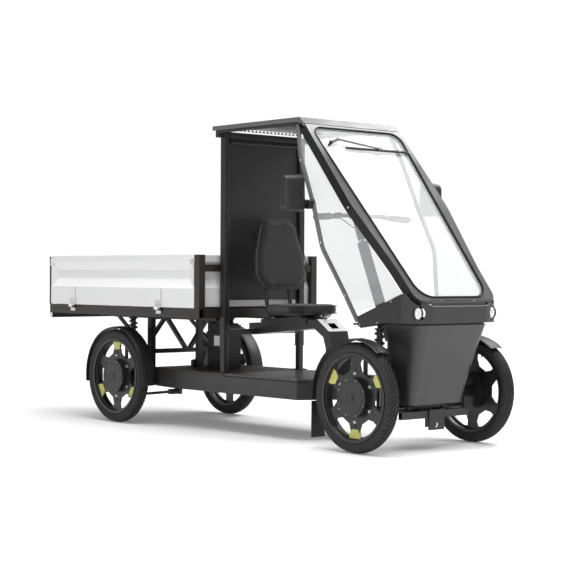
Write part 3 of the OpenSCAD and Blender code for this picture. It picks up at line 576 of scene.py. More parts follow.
def mudguard(name, x, side, start, end, body, node, flap):
    """A crowned guard with rolled edges, from angle start to end over the tyre's top."""
    shape = Shape()
    inner_y, outer_y = HALF_TRACK - 55, HALF_TRACK + 39
    middle, half = (inner_y + outer_y) / 2, (outer_y - inner_y) / 2
    top, under = [], []
    for k in range(13):
        t = -1 + 2 * k / 12
        crown = GUARD_R - 5.0 * abs(t) ** 3
        top.append((crown, middle + half * t * 0.985))
        under.append((crown - 2.6, middle + half * t * 0.965))
    outline = top + [(r, outer_y - d) for r, d in ((GUARD_LIP_R, 0.5), (GUARD_LIP_R, 2.6))]
    outline += under[::-1] + [(r, inner_y + d) for r, d in ((GUARD_LIP_R, 2.6), (GUARD_LIP_R, 0.5))]
    rings = []
    for i in range(45):
        a = radians(start + (end - start) * i / 44)
        rings.append([(x + r * cos(a), side * y, TYRE_R + r * sin(a)) for r, y in outline])
    shape.loft(rings)
    if flap:
        back, front = x - 296.8, x - 293.4
        corners = ((back, inner_y), (back, outer_y), (front, outer_y), (front, inner_y))
        shape.loft([[(a, side * y, z) for a, y in corners] for z in (58, 60, 150, 200, 247)])
        for y in (inner_y + 12, middle, outer_y - 12):
            shape.box((x - 298.4, side * y - 2, 66), (x - 296.6, side * y + 2, 236))
    shape.piece(name, PLASTIC, "fender_plastic", body, bevel=0.5, replaces=(node,))
    bolts = Shape()
    for dx in (-9, 9):
        a = pi / 2 - dx / 298.0
        for y in (HALF_TRACK - 40, HALF_TRACK - 14):
            place = (x + 297.6 * cos(a), side * y, TYRE_R + 297.6 * sin(a))
            bolts.bolt(place, (cos(a), 0, sin(a)), 4.0, 2.6)
    bolts.piece(name + "_bolts", PLASTIC, "fender_plastic", body)


for side, word, tag in SIDES:
    mudguard("front_mudguard_" + word, WHEELBASE, side, 52, 185.5, "hub_carrier_" + word,
             "front_fender_" + tag, True)
    mudguard("rear_mudguard_" + word, 0, side, -9, 189, "trailing_arm_" + word, "rear_fender_" + tag, False)


# ---- coil-over units

def coil_over(word, x, y, low, high, arm_body, node, coils):
    """Damper body above, rod below and a free coil that joins the two bodies."""
    spring_low = low + (high - low) * 0.24
    spring_high = high - 26
    seat = spring_low - low
    sleeve = (high - spring_low) * 0.62
    top = Shape()
    top.lathe([(0, 0), (11, 0), (12, 3), (12, 12), (27, 14), (27, 19), (20, 22), (19, 26), (16, 28),
               (16, sleeve), (14, sleeve + 2), (0, sleeve + 2)], (x, y, high), (0, 0, -1), 28)
    top.piece("damper_body_" + word, BLACK, "spring_black", replaces=(node,))
    rod = Shape()
    rod.lathe([(0, 0), (14, 0), (15, 3), (15, seat - 12), (27, seat - 9), (27, seat - 3), (16, seat),
               (5.5, seat + 2), (5.5, (high - low) * 0.5), (0, (high - low) * 0.5)], (x, y, low), UP, 28)
    rod.piece("damper_foot_" + word, ALLOY, "alloy", arm_body)
    points = []
    steps = coils * 20
    for i in range(steps + 1):
        t = i / steps
        a = 2 * pi * coils * t
        share = t - 0.018 * sin(2 * pi * t)
        z = spring_low + 3 + (spring_high - spring_low - 6) * share
        points.append((x + 23 * cos(a), y + 23 * sin(a), z))
    obj = Shape().path(points, 4.6, 10).piece("coil_" + word, BLACK, "spring_black", ride=False)
    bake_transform(obj)


for side, word, tag in SIDES:
    coil_over("front_" + word, WHEELBASE, side * 272, 223.3, 639.6, "wishbone_" + word, "shock_f" + tag, 8)
    coil_over("rear_" + word, -5, side * 318, 358.3, 644.6, "trailing_arm_" + word, "shock_r" + tag, 7)


# ---- cab

TUBE_LINE = [(1525, 340, 1700), (1593, 383, 1520), (1708, 393, 1262), (1806, 419, 1035), (1895, 343, 803),
             (1965, 318, 660)]


def square_tube(shape, low, high, axis, r=4.0):
    """An upright or level square tube with rounded corners."""
    a, b = [i for i in range(3) if i != axis]
    outline = rounded([(low[a], low[b]), (high[a], low[b]), (high[a], high[b]), (low[a], high[b])], r, 4)
    rows = []
    for end in (low[axis], high[axis]):
        row = []
        for p, q in outline:
            place = [0, 0, 0]
            place[a], place[b], place[axis] = p, q, end
            row.append(place)
        rows.append(row)
    shape.loft(rows)


def build_cab():
    tubes, bolts, caps, hoops = Shape(), Shape(), Shape(), Shape()
    for side in (-1, 1):
        square_tube(tubes, *on_side(side, (820, 266, 482), (860, 306, 1696)), 2)
        square_tube(tubes, *on_side(side, (823, 269, 333.4), (857, 303, 484)), 2)
        square_tube(tubes, *on_side(side, (828, 324, 1696), (1528, 348, 1718)), 0)
        tubes.box(*on_side(side, (1500, 338, 1690), (1552, 352, 1714)))
        hoops.path(fillet([(x, side * y, z) for x, y, z in TUBE_LINE], 190, 8), 12, 18)
        arm = fillet([(1704, side * 393, 1270), (1697, side * 420, 1274), (1690, side * 452, 1276)], 30)
        tubes.path(arm, lambda t: 14 - 3.5 * sin(pi * t), 16)
        knuckle = rounded([(1680, 1240), (1722, 1240), (1722, 1284), (1680, 1290)], 9, 4)
        tubes.loft([[(1701 + (x - 1701) * share, side * y, 1263 + (z - 1263) * share) for x, z in knuckle]
                    for y, share in ((406, 0.86), (409, 1), (432, 1), (436, 0.9))])
        clamp_low, clamp_high = Vector((1707.1, side * 392.9, 1264)), Vector((1696.4, side * 392, 1288))
        tubes.lathe([(0, 0), (13.4, 0), (14.2, 1.5), (14.2, 24.5), (13.4, 26), (0, 26)], clamp_low,
                    clamp_high - clamp_low, 24)
        tubes.lathe([(0, 0), (13, 0), (14, 2), (14, 16), (13, 18), (0, 18)], (1690, side * 452, 1268), UP, 24)
        tubes.rod((1690, side * 452, 1229), (1690, side * 452, 1329), 5.9)
        bolts.bolt((1695, side * 382, 1262), (-0.8, -side * 0.6, 0), 4, 4)
        for x, y, z in ((1605, 384, 1500), (1797, 416, 1062), (1902, 340, 790)):
            bolts.bolt((x + 2, side * (y + 11), z), (0.2, side, 0), 5.5, 4)
        caps.box(*on_side(side, (818.5, 264.5, 478), (861.5, 307.5, 483)))
    square_tube(tubes, (826, -346, 1672), (852, 346, 1707), 1)
    square_tube(tubes, (1520, -346, 1668), (1546, 346, 1692), 1)
    square_tube(tubes, (860, -267, 1640), (876, 267, 1656), 1)
    tubes.piece("cab_tubes", BLACK, "black_frame", replaces=("cab_frame",))
    hoops.piece("cab_side_tubes", HOOP, "black_frame")
    bolts.piece("cab_bolts", STEEL, "steel")
    caps.piece("cab_post_collars", BLACK, "black_frame", bevel=1)


def screen_outline(grow=0.0):
    """The glass's visible outline, as distance down the slope and across."""
    half = [(20 - grow, 328 + grow), (1180 + grow, 250 + grow)]
    return rounded(mirrored(half), [66 + grow, 96 + grow, 96 + grow, 66 + grow], 10)


def build_screen():
    seal = Shape().path([screen_point(s, y, 0.4) for s, y in screen_outline(1.0)], 6.5, 10, 0.55, closed=True)
    seal.piece("screen_seal", SEAL, "fender_plastic")
    bolts = Shape()
    for side in (-1, 1):
        for s, y in ((568, 361), (1150, 280)):
            bolts.bolt(screen_point(s, side * y, -26) + Vector((0, side * 4, 0)), (0, side, 0), 5.5, 4)
        bolts.bolt(screen_point(1204, side * 120, 0), SCREEN_OUT, 4, 3)
    bolts.piece("screen_bolts", STEEL, "steel")
    ledge = Shape().path([screen_point(1203, y, -0.2) for y in (-270, 270)], 2.2, 8)
    ledge.piece("screen_ledge", PLASTIC, "screen_frame")
    blade = Shape()
    blade.path([screen_point(164, -158, 3.0), screen_point(164, 313, 3.0)], 3.2, 8, 1.2)
    blade.path([screen_point(164, y, out) for y, out in ((-150, 8.6), (60, 10.0), (305, 8.6))], 4.0, 8)
    blade.piece("wiper_rubber", SEAL, "pedal_black", "wiper_arm")
    clip = Shape()
    clip.slab(screen_point(163, 90, 15), (22, 34, 7), SCREEN_DOWN, ACROSS)
    clip.slab(screen_point(164, 238, 9), (17, 15, 8), SCREEN_DOWN, ACROSS)
    clip.lathe([(10, 0), (10, 4), (6, 7), (0, 7)], screen_point(142, -263, 19), SCREEN_OUT, 20)
    clip.piece("wiper_clips", PLASTIC, "pedal_black", "wiper_arm", bevel=1.2)


def build_roof_details():
    rivets, grille, ribs = Shape(), Shape(), Shape()
    for x in range(860, 1540, 110):
        for side in (-1, 1):
            rivets.bolt((x, side * 357.6, 1722), (0, side, 0), 3.0, 1.6)
    rivets.piece("roof_rivets", ROOF, "roof_grey")
    for k in range(22):
        grille.slab((824, -300 + k * 600 / 21, 1724), (3, 12, 9), ALONG, ACROSS)
    grille.box((819, -330, 1718.6), (827, 330, 1720))
    grille.piece("roof_vent_grille", BLACK, "black_frame")
    for y in (-230, 230):
        ribs.path([(850, y, 1730.4), (1520, y, 1730.4)], 2.2, 8)
    ribs.piece("roof_stiffeners", ROOF, "roof_grey")


def build_bulkhead_details():
    plan = rounded([(-258, 756), (258, 756), (258, 1664), (-258, 1664)], 12, 4)
    edge = Shape().path([(843.4, y, z) for y, z in plan], 3.2, 8, 0.7, closed=True)
    edge.piece("bulkhead_edging", SEAL, "bulkhead_dark")
    rivets = Shape()
    for side in (-1, 1):
        for z in range(790, 1640, 135):
            rivets.bolt((842, side * 248, z), ALONG, 4, 1.6)
    rivets.piece("bulkhead_rivets", SEAL, "bulkhead_dark")


build_cab()
build_screen()
build_roof_details()
build_bulkhead_details()


# ---- nose

NOSE_FOOT = 236
NOSE_H = 410


def nose_outline(z, inset, radius):
    """The lower nose's outline at height z, moved in by inset, from one rear edge to the other."""
    t = (z - NOSE_FOOT) / NOSE_H
    rear_x, rear_y = 2163 - 14 * t, 200 + 100 * t - inset
    front_x, front_y = 2226 + 126 * t - inset, 196 + 62 * t - inset
    corners = [(rear_x, rear_y, z), (front_x, front_y, z), (front_x, -front_y, z), (rear_x, -rear_y, z)]
    return fillet(corners, radius, 8)


def build_lower_nose():
    shell = Shape()
    heights = [NOSE_FOOT + NOSE_H * k / 12 for k in range(13)]
    shell.loft([nose_outline(z, 0, 72) + nose_outline(z, 3.4, 68.6)[::-1] for z in heights])
    shell.box((2165, -192, 236.2), (2214, 192, 239.5))
    shell.piece("lower_nose", NOSE, "nose_plastic", replaces=("nose_bucket",))
    rim = Shape().path([p + Vector((-1.2, 0, -1.5)) for p in nose_outline(heights[-1], 0, 72)], 3.0, 8)
    rim.piece("lower_nose_rim", LID, "nose_plastic")
    collar = [[(p.x, p.y) for p in nose_outline(NOSE_FOOT + NOSE_H, d, 70)] for d in (6, 10)]
    gasket = Shape().loft([[(x, y, z) for x, y in collar[0] + collar[1][::-1]] for z in (640, 657.5)])
    gasket.piece("nose_gasket", SEAL, "nose_plastic")


def build_nose_band_details():
    lip = Shape().loft([[screen_point(1200, y, -4.6), screen_point(1213, y, -4.6),
                         screen_point(1213.5, y, -0.8), (2377.6, y, 753), (2377.6, y, 744), (2372, y, 744)]
                        for y in (-199, -190, 190, 199)])
    lip.piece("nose_lip", NOSE, "nose_plastic", bevel=0.6)
    seams, bolts = Shape(), Shape()
    for side in (-1, 1):
        line = []
        for k in range(9):
            t = k / 8
            y = side * (206 + 42 * t)
            line.append((2378 - 22 * t ** 2 + 5.2 - 3.0 * abs(y) / 300, y, 662 + 34 * (1 - t) ** 2 + 4 * t))
        seams.path(line, 1.0, 6)
        for x, z in ((1998, 644), (2122, 655), (2222, 764)):
            bolts.bolt((x, side * 334.3, z), (0, side, 0), 4.6, 3.2)
    seams.piece("nose_seams", SEAL, "nose_plastic")
    bolts.piece("nose_bolts", STEEL, "steel")


# The lamp's ring, reflector and lens, as (radius, distance forwards).
RING = ((28.2, 8), (30.5, 8), (33.6, 2), (33.8, 54), (32, 57), (29.4, 57), (28.2, 50), (28.2, 8))
BOWL = ((27.8, 47), (24, 40), (18, 35), (10, 32), (4, 31), (4, 30), (10, 30.6), (19, 33), (25.5, 39),
        (28.1, 47))
LENS_SHELL = ((28, 48), (28, 50.5), (22, 53), (12, 54.4), (0, 54.8), (0, 52), (12, 51.6), (22, 50.2))


def build_lamps():
    for side, word, _ in SIDES:
        centre = Vector((2300, side * 273, 706))
        ring = Shape().lathe(RING, centre, ALONG, 48, closed=True)
        replaced = ("headlights",) if side < 0 else ()
        ring.piece("lamp_ring_" + word, PLASTIC, "fender_plastic", replaces=replaced)
        Shape().lathe(BOWL, centre, ALONG, 40, closed=True).piece("lamp_bowl_" + word, REFLECTOR, "lamp")
        inner = Shape().lathe([(10, 44), (13, 44), (13, 47.5), (10, 47.5)], centre, ALONG, 40, closed=True)
        for a in turns(6):
            inner.bolt(centre + Vector((38, 19 * cos(a), 19 * sin(a))), ALONG, 2.4, 3)
        inner.piece("lamp_inner_" + word, ALLOY, "lamp")
        Shape().lathe(LENS_SHELL, centre, ALONG, 40).piece("lamp_lens_" + word, LENS, "lamp")


build_lower_nose()
build_nose_band_details()
build_lamps()


# ---- steering, pedals and mirrors

def bar_point(y, dx=0.0, dz=0.0):
    """A point of the handlebar's centre line at distance y from the middle."""
    return Vector((1622 + 50 * abs(y) / 345 + dx, y, 1222 - 20 * abs(y) / 345 + dz))


COLUMN_UP = Vector((-385, 0, 914)).normalized()
COLUMN_FOOT = Vector((1985, 0, 324))
CRANK_X, CRANK_Z = 1840, 450


def build_handlebar():
    bar, grips, bits, cables = Shape(), Shape(), Shape(), Shape()
    bends = [bar_point(-345), bar_point(-90), bar_point(0, 2), bar_point(90), bar_point(345)]
    bar.path(fillet(bends, 120, 6), 11, 18)
    bar.lathe([(12.1, 0), (20, 0), (20, 60), (18, 64), (18, 140), (20, 144), (20, 150), (12.1, 150)],
              COLUMN_FOOT + COLUMN_UP * 826.8, COLUMN_UP, 32)
    bar.slab((1616, 0, 1220), (50, 50, 34), ALONG, ACROSS)
    bar.piece("handlebar_tube", BLACK, "black_frame", "steering", bevel=1.5, replaces=("handlebar",))
    ribbed = [(11.2, 0), (18.6, 0), (18.6, 4)]
    for k in range(16):
        h = 6 + k * 6.6
        ribbed += [(16.8, h), (16.8, h + 2.2), (18, h + 3), (18, h + 5.6)]
    ribbed += [(18.6, 112), (18.6, 116), (11.2, 116)]
    for side in (-1, 1):
        axis = (bar_point(side * 345) - bar_point(side * 230)).normalized()
        grips.lathe(ribbed, bar_point(side * 230), axis, 28)
        bits.slab(bar_point(side * 199, 8, -2), (32, 24, 20), (1, side * 0.14, 0), ACROSS)
        bits.slab(bar_point(side * 199, 24, -12), (48, 18, 4), ALONG, ACROSS)
        bits.rod(bar_point(side * 199, 40, -13), bar_point(side * 199, 40, 10), 4)
        bits.bolt(bar_point(side * 199, 40, 9.5), UP, 5.5, 3)
        bits.slab(bar_point(side * 160, 2, 8), (30, 34, 18), (1, side * 0.14, 0), ACROSS)
        start = bar_point(side * 188, 22, -4)
        end = COLUMN_FOOT + COLUMN_UP * 850 + Vector((17, side * 9, 0))
        route = [start, start + Vector((26, -side * 34, -26)), (1672, side * 70, 1150),
                 end + Vector((22, side * 7, 34)), end]
        cables.path(fillet(route, 40, 6), 2.6, 10)
    grips.piece("grips", GRIP, "fender_plastic", "steering")
    bits.piece("bar_controls", PLASTIC, "fender_plastic", "steering", bevel=1.5)
    display = Shape().slab((1600, 0, 1250), (14, 66, 44), (1, 0, 0.4), ACROSS)
    display.piece("bar_display", PLASTIC, "fender_plastic", "steering", bevel=3)
    cables.piece("brake_cables", SEAL, "fender_plastic", "steering")


def build_pedals():
    for side, word, tag in SIDES:
        x = CRANK_X - side * 165
        own = "pedal_" + word
        body, reflectors = Shape(), Shape()
        for near, far in ((-46, -30), (30, 46)):
            body.box(*on_side(side, (x + near, 70, 442), (x + far, 170, 458)))
            for k in range(7):
                y = side * (78 + k * 14)
                body.box((x + near + 2, y - 3, 440.8), (x + far - 2, y + 3, 459.2))
        for y in (70, 160):
            body.box(*on_side(side, (x - 40, y, 443), (x + 40, y + 10, 457)))
        body.lathe([(6.1, 0), (11, 0), (11, 30), (9.5, 34), (9.5, 66), (11, 70), (11, 100), (6.1, 100)],
                   (x, side * 70, CRANK_Z), (0, side, 0), 28, closed=True)
        body.piece("pedal_body_" + word, PLASTIC, "pedal_black", own, bevel=1.2, replaces=("pedal_" + tag,))
        for near in (-45.9, 44.5):
            reflectors.box(*on_side(side, (x + near, 92, 445), (x + near + 1.4, 148, 455)))
        reflectors.piece("pedal_reflectors_" + word, AMBER, "pedal_black", own)
    fins, caps = Shape(), Shape()
    for y in range(-32, 33, 8):
        fins.lathe([(50, 0), (54.5, 0.6), (54.5, 3.4), (50, 4)], (CRANK_X, y, CRANK_Z), ACROSS, 48,
                   closed=True)
    for a in turns(6):
        for side in (-1, 1):
            fins.bolt((CRANK_X + 40 * cos(a), side * 44, CRANK_Z + 40 * sin(a)), (0, side, 0), 3, 2)
    for side in (-1, 1):
        caps.lathe([(9, 0), (9, 2), (6, 3), (0, 3)], (CRANK_X, side * 62, CRANK_Z), (0, side, 0), 24)
    fins.piece("generator_fins", MOTOR, "motor_case")
    caps.piece("crank_caps", STEEL, "steel", "cranks")


def build_mirrors():
    outline = rounded([(444, 1225), (590, 1227), (589, 1410), (448, 1419)], [20, 26, 30, 24], 8)
    shell = ((1667.5, 0.94), (1666.5, 0.985), (1672, 1.0), (1690, 0.995), (1702, 0.95), (1710, 0.86),
             (1715, 0.70), (1717, 0.45))
    glass = ((1667.6, 0.90), (1666.6, 0.90), (1666.2, 0.885))
    for side, word, tag in SIDES:
        own = "mirror_" + word
        head, plate = (Shape().loft([[(x, side * y, z) for y, z in grown(outline, share)]
                                     for x, share in rows]) for rows in (shell, glass))
        head.piece("mirror_shell_" + word, PLASTIC, "fender_plastic", own, replaces=("mirror_" + tag,))
        plate.piece("mirror_glass_" + word, MIRROR, "clear", own)


build_handlebar()
build_pedals()
build_mirrors()


# ---- cargo bed

PANEL_LOW = 703
PANEL_H = 304
RECESS_DEPTH = 22
RECESS = ((0.365, 0), (0.545, RECESS_DEPTH), (0.71, RECESS_DEPTH), (0.875, 0))
HINGES = (-470, 430)
DECK_Z = 333


def recess_ends(shape, along, face, out, start, end):
    """Sloped plates that close a panel's long recess at both ends."""
    along, out = Vector(along), Vector(out)
    for place, inward in ((start, 1), (end, -1)):
        foot, head = [], []
        for share, depth in RECESS:
            level = Vector((0, 0, PANEL_LOW + PANEL_H * share)) + out * (face - depth + 0.2)
            head.append(shape.vert(along * (place + inward * 60 * depth / RECESS_DEPTH) + level))
            foot.append(shape.vert(along * place + level))
        shape.face(head)
        shape.face([head[0], head[1], foot[1]])
        shape.face([head[3], head[2], foot[2]])
        shape.face([head[0], head[3], foot[2], foot[1]])
        shape.face([foot[1], foot[2], head[2], head[1]])


def build_sides():
    """What moves with the three drop panels: the closed ends of their recess, and the hinges."""
    for side, word, _ in SIDES:
        ends, straps, joints = Shape(), Shape(), Shape()
        recess_ends(ends, ALONG, 448, (0, side, 0), -724, 760)
        ends.piece("recess_ends_side_" + word, PANEL, "panel_grey", "side_" + word, crease=20)
        for x in HINGES:
            joints.box(*on_side(side, (x + 21, 448, 742), (x + 23.4, 449, 812)))
            straps.box(*on_side(side, (x - 30, 448.2, 712), (x + 30, 453.2, 742)))
            straps.box(*on_side(side, (x - 22, 446.7, 700), (x + 22, 454.7, 716)))
        straps.piece("hinge_straps_" + word, BRIGHT_ALLOY, "panel_grey", "side_" + word, bevel=1.6)
        joints.piece("panel_joints_" + word, ALLOY, "panel_grey", "side_" + word)
    ends = Shape()
    recess_ends(ends, ACROSS, 748, (-1, 0, 0), -416, 416)
    ends.piece("recess_ends_rear_gate", PANEL, "panel_grey", "rear_gate", crease=20)


def build_bed():
    latches, pins, ribs, caps, plates, rings, lamps = (Shape() for _ in range(7))
    for side in (-1, 1):
        out = (0, side, 0)
        for x, reach in ((-715, -18), (745, 18)):
            latches.box(*on_side(side, (x - 9, 448.2, 943), (x + 9, 456, 987)))
            pins.rod((x, side * 456, 951), (x, side * 456, 979), 4.5)
            pins.rod((x, side * 457, 971), (x + reach, side * 459, 975), 3.2)
        for z in (668, 676.5):
            ribs.box(*on_side(side, (-738, 448, z), (810, 449.4, z + 3)))
        for x in HINGES:
            for dx in (-8, 8):
                pins.bolt((x + dx, side * 453.3, 735), out, 3.2, 2.2)
            for end in (-1, 1):
                pins.bolt((x + end * 27, side * 466, 695), (end, 0, 0), 5, 2.5)
            near, far = sorted((side * 448.2, side * 453.2))
            plates.box((x - 24, near, 664), (x + 24, far + side, 686))
        caps.box(*on_side(side, (-749, 444.2, 616), (-717, 447, 648)))
        for x in (-560, -180, 200, 580):
            eye = [(x + 16 * cos(t), side * 392 + 9 * sin(t), 712.5) for t in turns(24)]
            rings.path(eye, 2.6, 8, closed=True)
            rings.box((x - 5, side * 384 - 9, 709.4), (x + 5, side * 384 + 3, 713.5))
        lamps.box(*on_side(side, (-756, 330, 622), (-750, 430, 644)))
    joints = Shape()
    for x in (-424, -129, 166, 461):
        joints.box((x - 1, -405, 709.2), (x + 1, 405, 709.9))
    latches.piece("bed_latch_plates", PANEL, "panel_grey", bevel=1.5)
    pins.piece("bed_bolts_and_pins", STEEL, "steel")
    ribs.piece("rail_ribs", RAIL, "bed_rail", bevel=0.6)
    caps.piece("bumper_end_caps", WHITE_PLASTIC, "panel_grey", bevel=2)
    plates.piece("hinge_rail_plates", BRIGHT_ALLOY, "panel_grey", bevel=1.6)
    joints.piece("bed_floor_joints", SEAL, "bed_rail")
    rings.piece("lashing_rings", STEEL, "steel")
    lamps.piece("tail_lamps", AMBER, "lamp", bevel=2)


def build_chassis_details():
    bolts, fold, feet = Shape(), Shape(), Shape()
    for side in (-1, 1):
        for x in (900, 1170, 1440):
            bolts.bolt((x, side * 290, DECK_Z), UP, 4.5, 2.4)
        for x, y in ((200, 205), (330, 262), (560, 290), (820, 290)):
            bolts.bolt((x, side * y, DECK_Z), UP, 5, 2.6)
        fold.box(*on_side(side, (552, 311, 236), (1488, 312.2, 239)))
        feet.box(*on_side(side, (806, 252, 333.3), (874, 320, 338)))
    bolts.piece("chassis_bolts", STEEL, "steel")
    fold.piece("battery_box_fold", CHASSIS, "chassis_sheet", bevel=0.5)
    feet.piece("cab_post_feet", BLACK, "black_frame", bevel=1.2)
    bracket = Shape().box((196, -30, 333.3), (222, 30, 372))
    for y in (-16, 16):
        bracket.bolt((209, y, 372), UP, 5, 4, hexagon=True)
        bracket.bolt((196, y, 352), (-1, 0, 0), 5, 4, hexagon=True)
    bracket.piece("deck_bracket", BLACK, "black_frame", bevel=1.5)


def build_cabinet_details():
    unit, leads = Shape(), Shape()
    for k in range(11):
        z = 352 + k * 21
        unit.box((448, -72.5, z), (557, 72.5, z + 5))
    unit.box((470, -66, 595.3), (536, 66, 603))
    for y in (-38, 0, 38):
        unit.lathe([(0, 0), (13, 0), (14, 2), (14, 12), (10, 16), (10, 24), (0, 24)], (503, y, 603), UP, 20)
        route = [(503, y, 622), (503, y, 634), (470, y * 0.8, 638), (400, y * 0.6, 636), (385, y * 0.5, 600),
                 (385, y * 0.5, 470), (385, y * 0.8, 340)]
        leads.path(fillet(route, 22), 4.2, 10)
    unit.piece("drive_cabinet_ribs", MOTOR, "motor_case", bevel=1.0)
    leads.piece("cabinet_leads", SEAL, "fender_plastic")
    label = Shape().box((478, -74.2, 470), (530, -72.4, 530))
    label.piece("cabinet_label", WHITE_PLASTIC, "panel_grey", bevel=0.6)


build_sides()
build_bed()
build_chassis_details()
build_cabinet_details()


# ---- seat

def cushion(name, outline, low, high, place, cap, node, body):
    """A padded form over the outline, swollen by cloth simulation and kept inside its own space."""
    rows = []
    for t in (0.0, 0.08, 0.3, 0.62, 0.86, 0.96, 1.0):
        shrink = 0.985 - 0.055 * abs(2 * t - 1) ** 4
        rows.append([place(a, b, low + (high - low) * t) for a, b in grown(outline, shrink)])
    obj = Shape().loft(rows).piece(name, FABRIC, "seat_cover", body, replaces=(node,), ride=False)
    swell(obj, cap)
    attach(obj, body)


def apply_all(obj):
    graph = bpy.context.evaluated_depsgraph_get()
    mesh = bpy.data.meshes.new_from_object(obj.evaluated_get(graph))
    obj.modifiers.clear()
    old = obj.data
    obj.data = mesh
    bpy.data.meshes.remove(old)


def swell(obj, cap):
    """Inflates obj as sewn cloth, with no point moved further than cap millimetres."""
    voxel = 5.5 * MM
    settle(obj.modifiers.new("voxels", "REMESH"), mode="VOXEL", voxel_size=voxel)
    apply_all(obj)
    start = [v.co.copy() for v in obj.data.vertices]
    soft = settle(obj.modifiers.new("cloth", "CLOTH").settings, use_pressure=True,
                  uniform_pressure_force=4, quality=6)
    soft.effector_weights.gravity = 0
    for step in range(1, 21):
        bpy.context.scene.frame_set(step)
    apply_all(obj)
    bpy.context.scene.frame_set(1)
    for v, before in zip(obj.data.vertices, start):
        move = v.co - before
        if move.length > cap * MM:
            v.co = before + move.normalized() * (cap * MM)
    settle(obj.modifiers.new("subdivision", "SUBSURF"), levels=1, render_levels=1)
    apply_all(obj)
    obj.data.materials.clear()
    obj.data.materials.append(FABRIC)
    obj.data.polygons.foreach_set("use_smooth", [True] * len(obj.data.polygons))


PAD_PLAN = rounded([(1022, -146), (1286, -184), (1330, -124), (1330, 124), (1286, 184), (1022, 146)],
                   [40, 60, 50, 50, 60, 40], 6)
BACK_PLAN = rounded([(811, -132), (890, -188), (1010, -180), (1214, -118), (1214, 118), (1010, 180),
                     (890, 188), (811, 132)], [50, 70, 140, 62, 62, 140, 70, 50], 6)
BACK_TOP = Vector((985, 0, 1220))
BACK_LEAN = Matrix.Rotation(-radians(7), 3, "Y")


def leaned(x, y, z):
    """A place on the upright backrest, leaned back about its top."""
    return BACK_TOP + BACK_LEAN @ (Vector((x, y, z)) - BACK_TOP)


def build_seat():
    cushion("seat_cushion", PAD_PLAN, 677, 725, lambda a, b, d: Vector((a, b, d)), 5, "seat_pad", "seat")
    cushion("back_cushion", BACK_PLAN, 940, 980, lambda a, b, d: leaned(d, b, a), 5, "seat_back", "seat")
    piping, seams, bolts, lever = Shape(), Shape(), Shape(), Shape()
    for z in (680, 721):
        piping.path([((x - 1176) * 0.992 + 1176, y * 0.992, z) for x, y in PAD_PLAN], 2.4, 8, closed=True)
    for x in (944, 976):
        line = [leaned(x, y * 0.99, (z - 1012) * 0.99 + 1012) for z, y in BACK_PLAN]
        piping.path(line, 2.4, 8, closed=True)
    piping.piece("seat_piping", PIPING, "seat_cover", "seat")
    for y in (-62, 62):
        seams.path([(1060, y, 724.6), (1180, y, 725.6), (1290, y, 724.6)], 1.4, 8)
    seams.piece("seat_seams", PIPING, "seat_cover", "seat")
    pan = Shape().box((1045, -125, 666), (1292, 125, 673.6))
    pan.piece("seat_pan", PLASTIC, "black_frame", "seat", bevel=2)
    for side in (-1, 1):
        bolts.bolt((1040, side * 99, 653), (0, side, 0), 4.6, 3)
        for x, z in ((918, 720), (914.5, 1100)):
            bolts.bolt(leaned(x, side * 99, z), (0, side, 0), 4.6, 3)
    bolts.piece("seat_bolts", STEEL, "steel", "seat")
    grip = [(1352, 0, 663), (1366, 0, 665), (1388, 0, 667), (1409, 0, 668)]
    lever.path(grip, lambda t: 7 + 4 * sin(2.6 * t), 18)
    lever.piece("lever_grip", BRIGHT_ALLOY, "lever_bright", "seat_clamp")


build_seat()


# ---- floor, light and camera

def build_stage():
    corners = [(-30, -30, 0), (30, -30, 0), (30, 30, 0), (-30, 30, 0)]
    mesh = bpy.data.meshes.new("floor")
    mesh.from_pydata(corners, [], [(0, 1, 2, 3)])
    floor = add_object("floor", mesh)
    paint = Paint("pale_floor")
    distance = paint.node("VectorMath", {0: paint.place})
    distance.operation = "LENGTH"
    paint.surface(paint.blend(paint.noise(0.8), (0.90, 0.90, 0.90, 1), (0.93, 0.93, 0.93, 1)), 0.9,
                  Specular_IOR_Level=0.1, Emission_Color=WHITE,
                  Emission_Strength=paint.to_range(distance.outputs["Value"], 0.10, 0.34, 1.4, 5.0))
    mesh.materials.append(paint.mat)


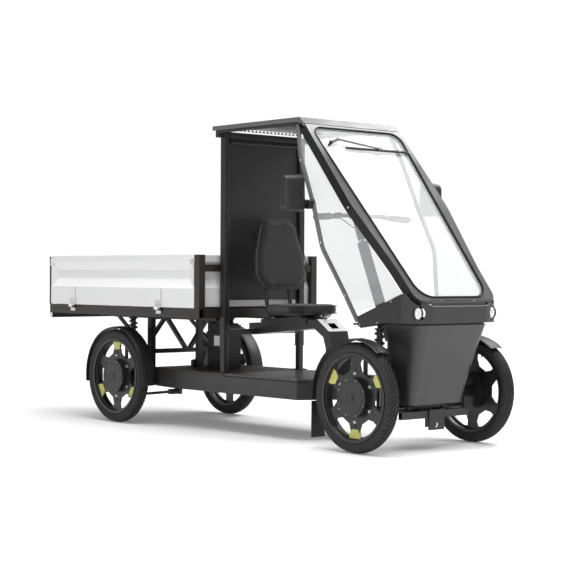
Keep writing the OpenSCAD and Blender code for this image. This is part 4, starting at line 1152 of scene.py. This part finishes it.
def build_light():
    world = bpy.data.worlds.new("studio")
    world.use_nodes = True
    nodes, links = world.node_tree.nodes, world.node_tree.links
    seen = next(n for n in nodes if n.type == "BACKGROUND")
    output = next(n for n in nodes if n.type == "OUTPUT_WORLD")
    fill = nodes.new("ShaderNodeBackground")
    mix = nodes.new("ShaderNodeMixShader")
    links.new(nodes.new("ShaderNodeLightPath").outputs["Is Camera Ray"], mix.inputs[0])
    for slot, background, strength in ((1, fill, 0.42), (2, seen, 1.05)):
        background.inputs["Color"].default_value = WHITE
        background.inputs["Strength"].default_value = strength
        links.new(background.outputs[0], mix.inputs[slot])
    links.new(mix.outputs[0], output.inputs["Surface"])
    bpy.context.scene.world = world
    sun = settle(bpy.data.lights.new("overhead", "SUN"), energy=1.5, angle=radians(70))
    add_object("overhead", sun).rotation_euler = (radians(-10), radians(6), 0)
    for name, place, target, size, size_y, power in (
            ("top_soft_box", (1.6, -0.6, 5.0), (1.0, 0, 0.6), 3.6, 3.0, 130),
            ("left_soft_box", (0.9, 3.9, 4.6), (0.6, 0, 1.0), 3.2, 2.2, 150),
            ("right_soft_box", (3.2, -5.2, 2.4), (0.2, 0, 0.9), 3.0, 2.4, 60)):
        data = settle(bpy.data.lights.new(name, "AREA"), energy=power, shape="RECTANGLE", size=size,
                      size_y=size_y)
        aim = (Vector(target) - Vector(place)).to_track_quat("-Z", "Y")
        settle(add_object(name, data), location=place, rotation_euler=aim.to_euler())
    bpy.context.scene.view_settings.view_transform = "Standard"


def build_camera():
    yaw, pitch, roll = radians(48.8515), radians(-0.4183), radians(0.305)
    ahead = Vector((-sin(yaw) * cos(pitch), cos(yaw) * cos(pitch), sin(pitch)))
    level = ahead.cross(Vector(UP)).normalized()
    upright = level.cross(ahead)
    right = level * cos(roll) + upright * sin(roll)
    up = upright * cos(roll) - level * sin(roll)
    data = settle(bpy.data.cameras.new("camera"), lens=96.2, sensor_width=36, clip_end=200)
    camera = add_object("camera", data)
    basis = Matrix((right, up, -ahead)).transposed()
    camera.matrix_world = Matrix.Translation(at(7600.7, -5737.6, 900.3)) @ basis.to_4x4()
    bpy.context.scene.camera = camera


build_stage()
build_light()
build_camera()
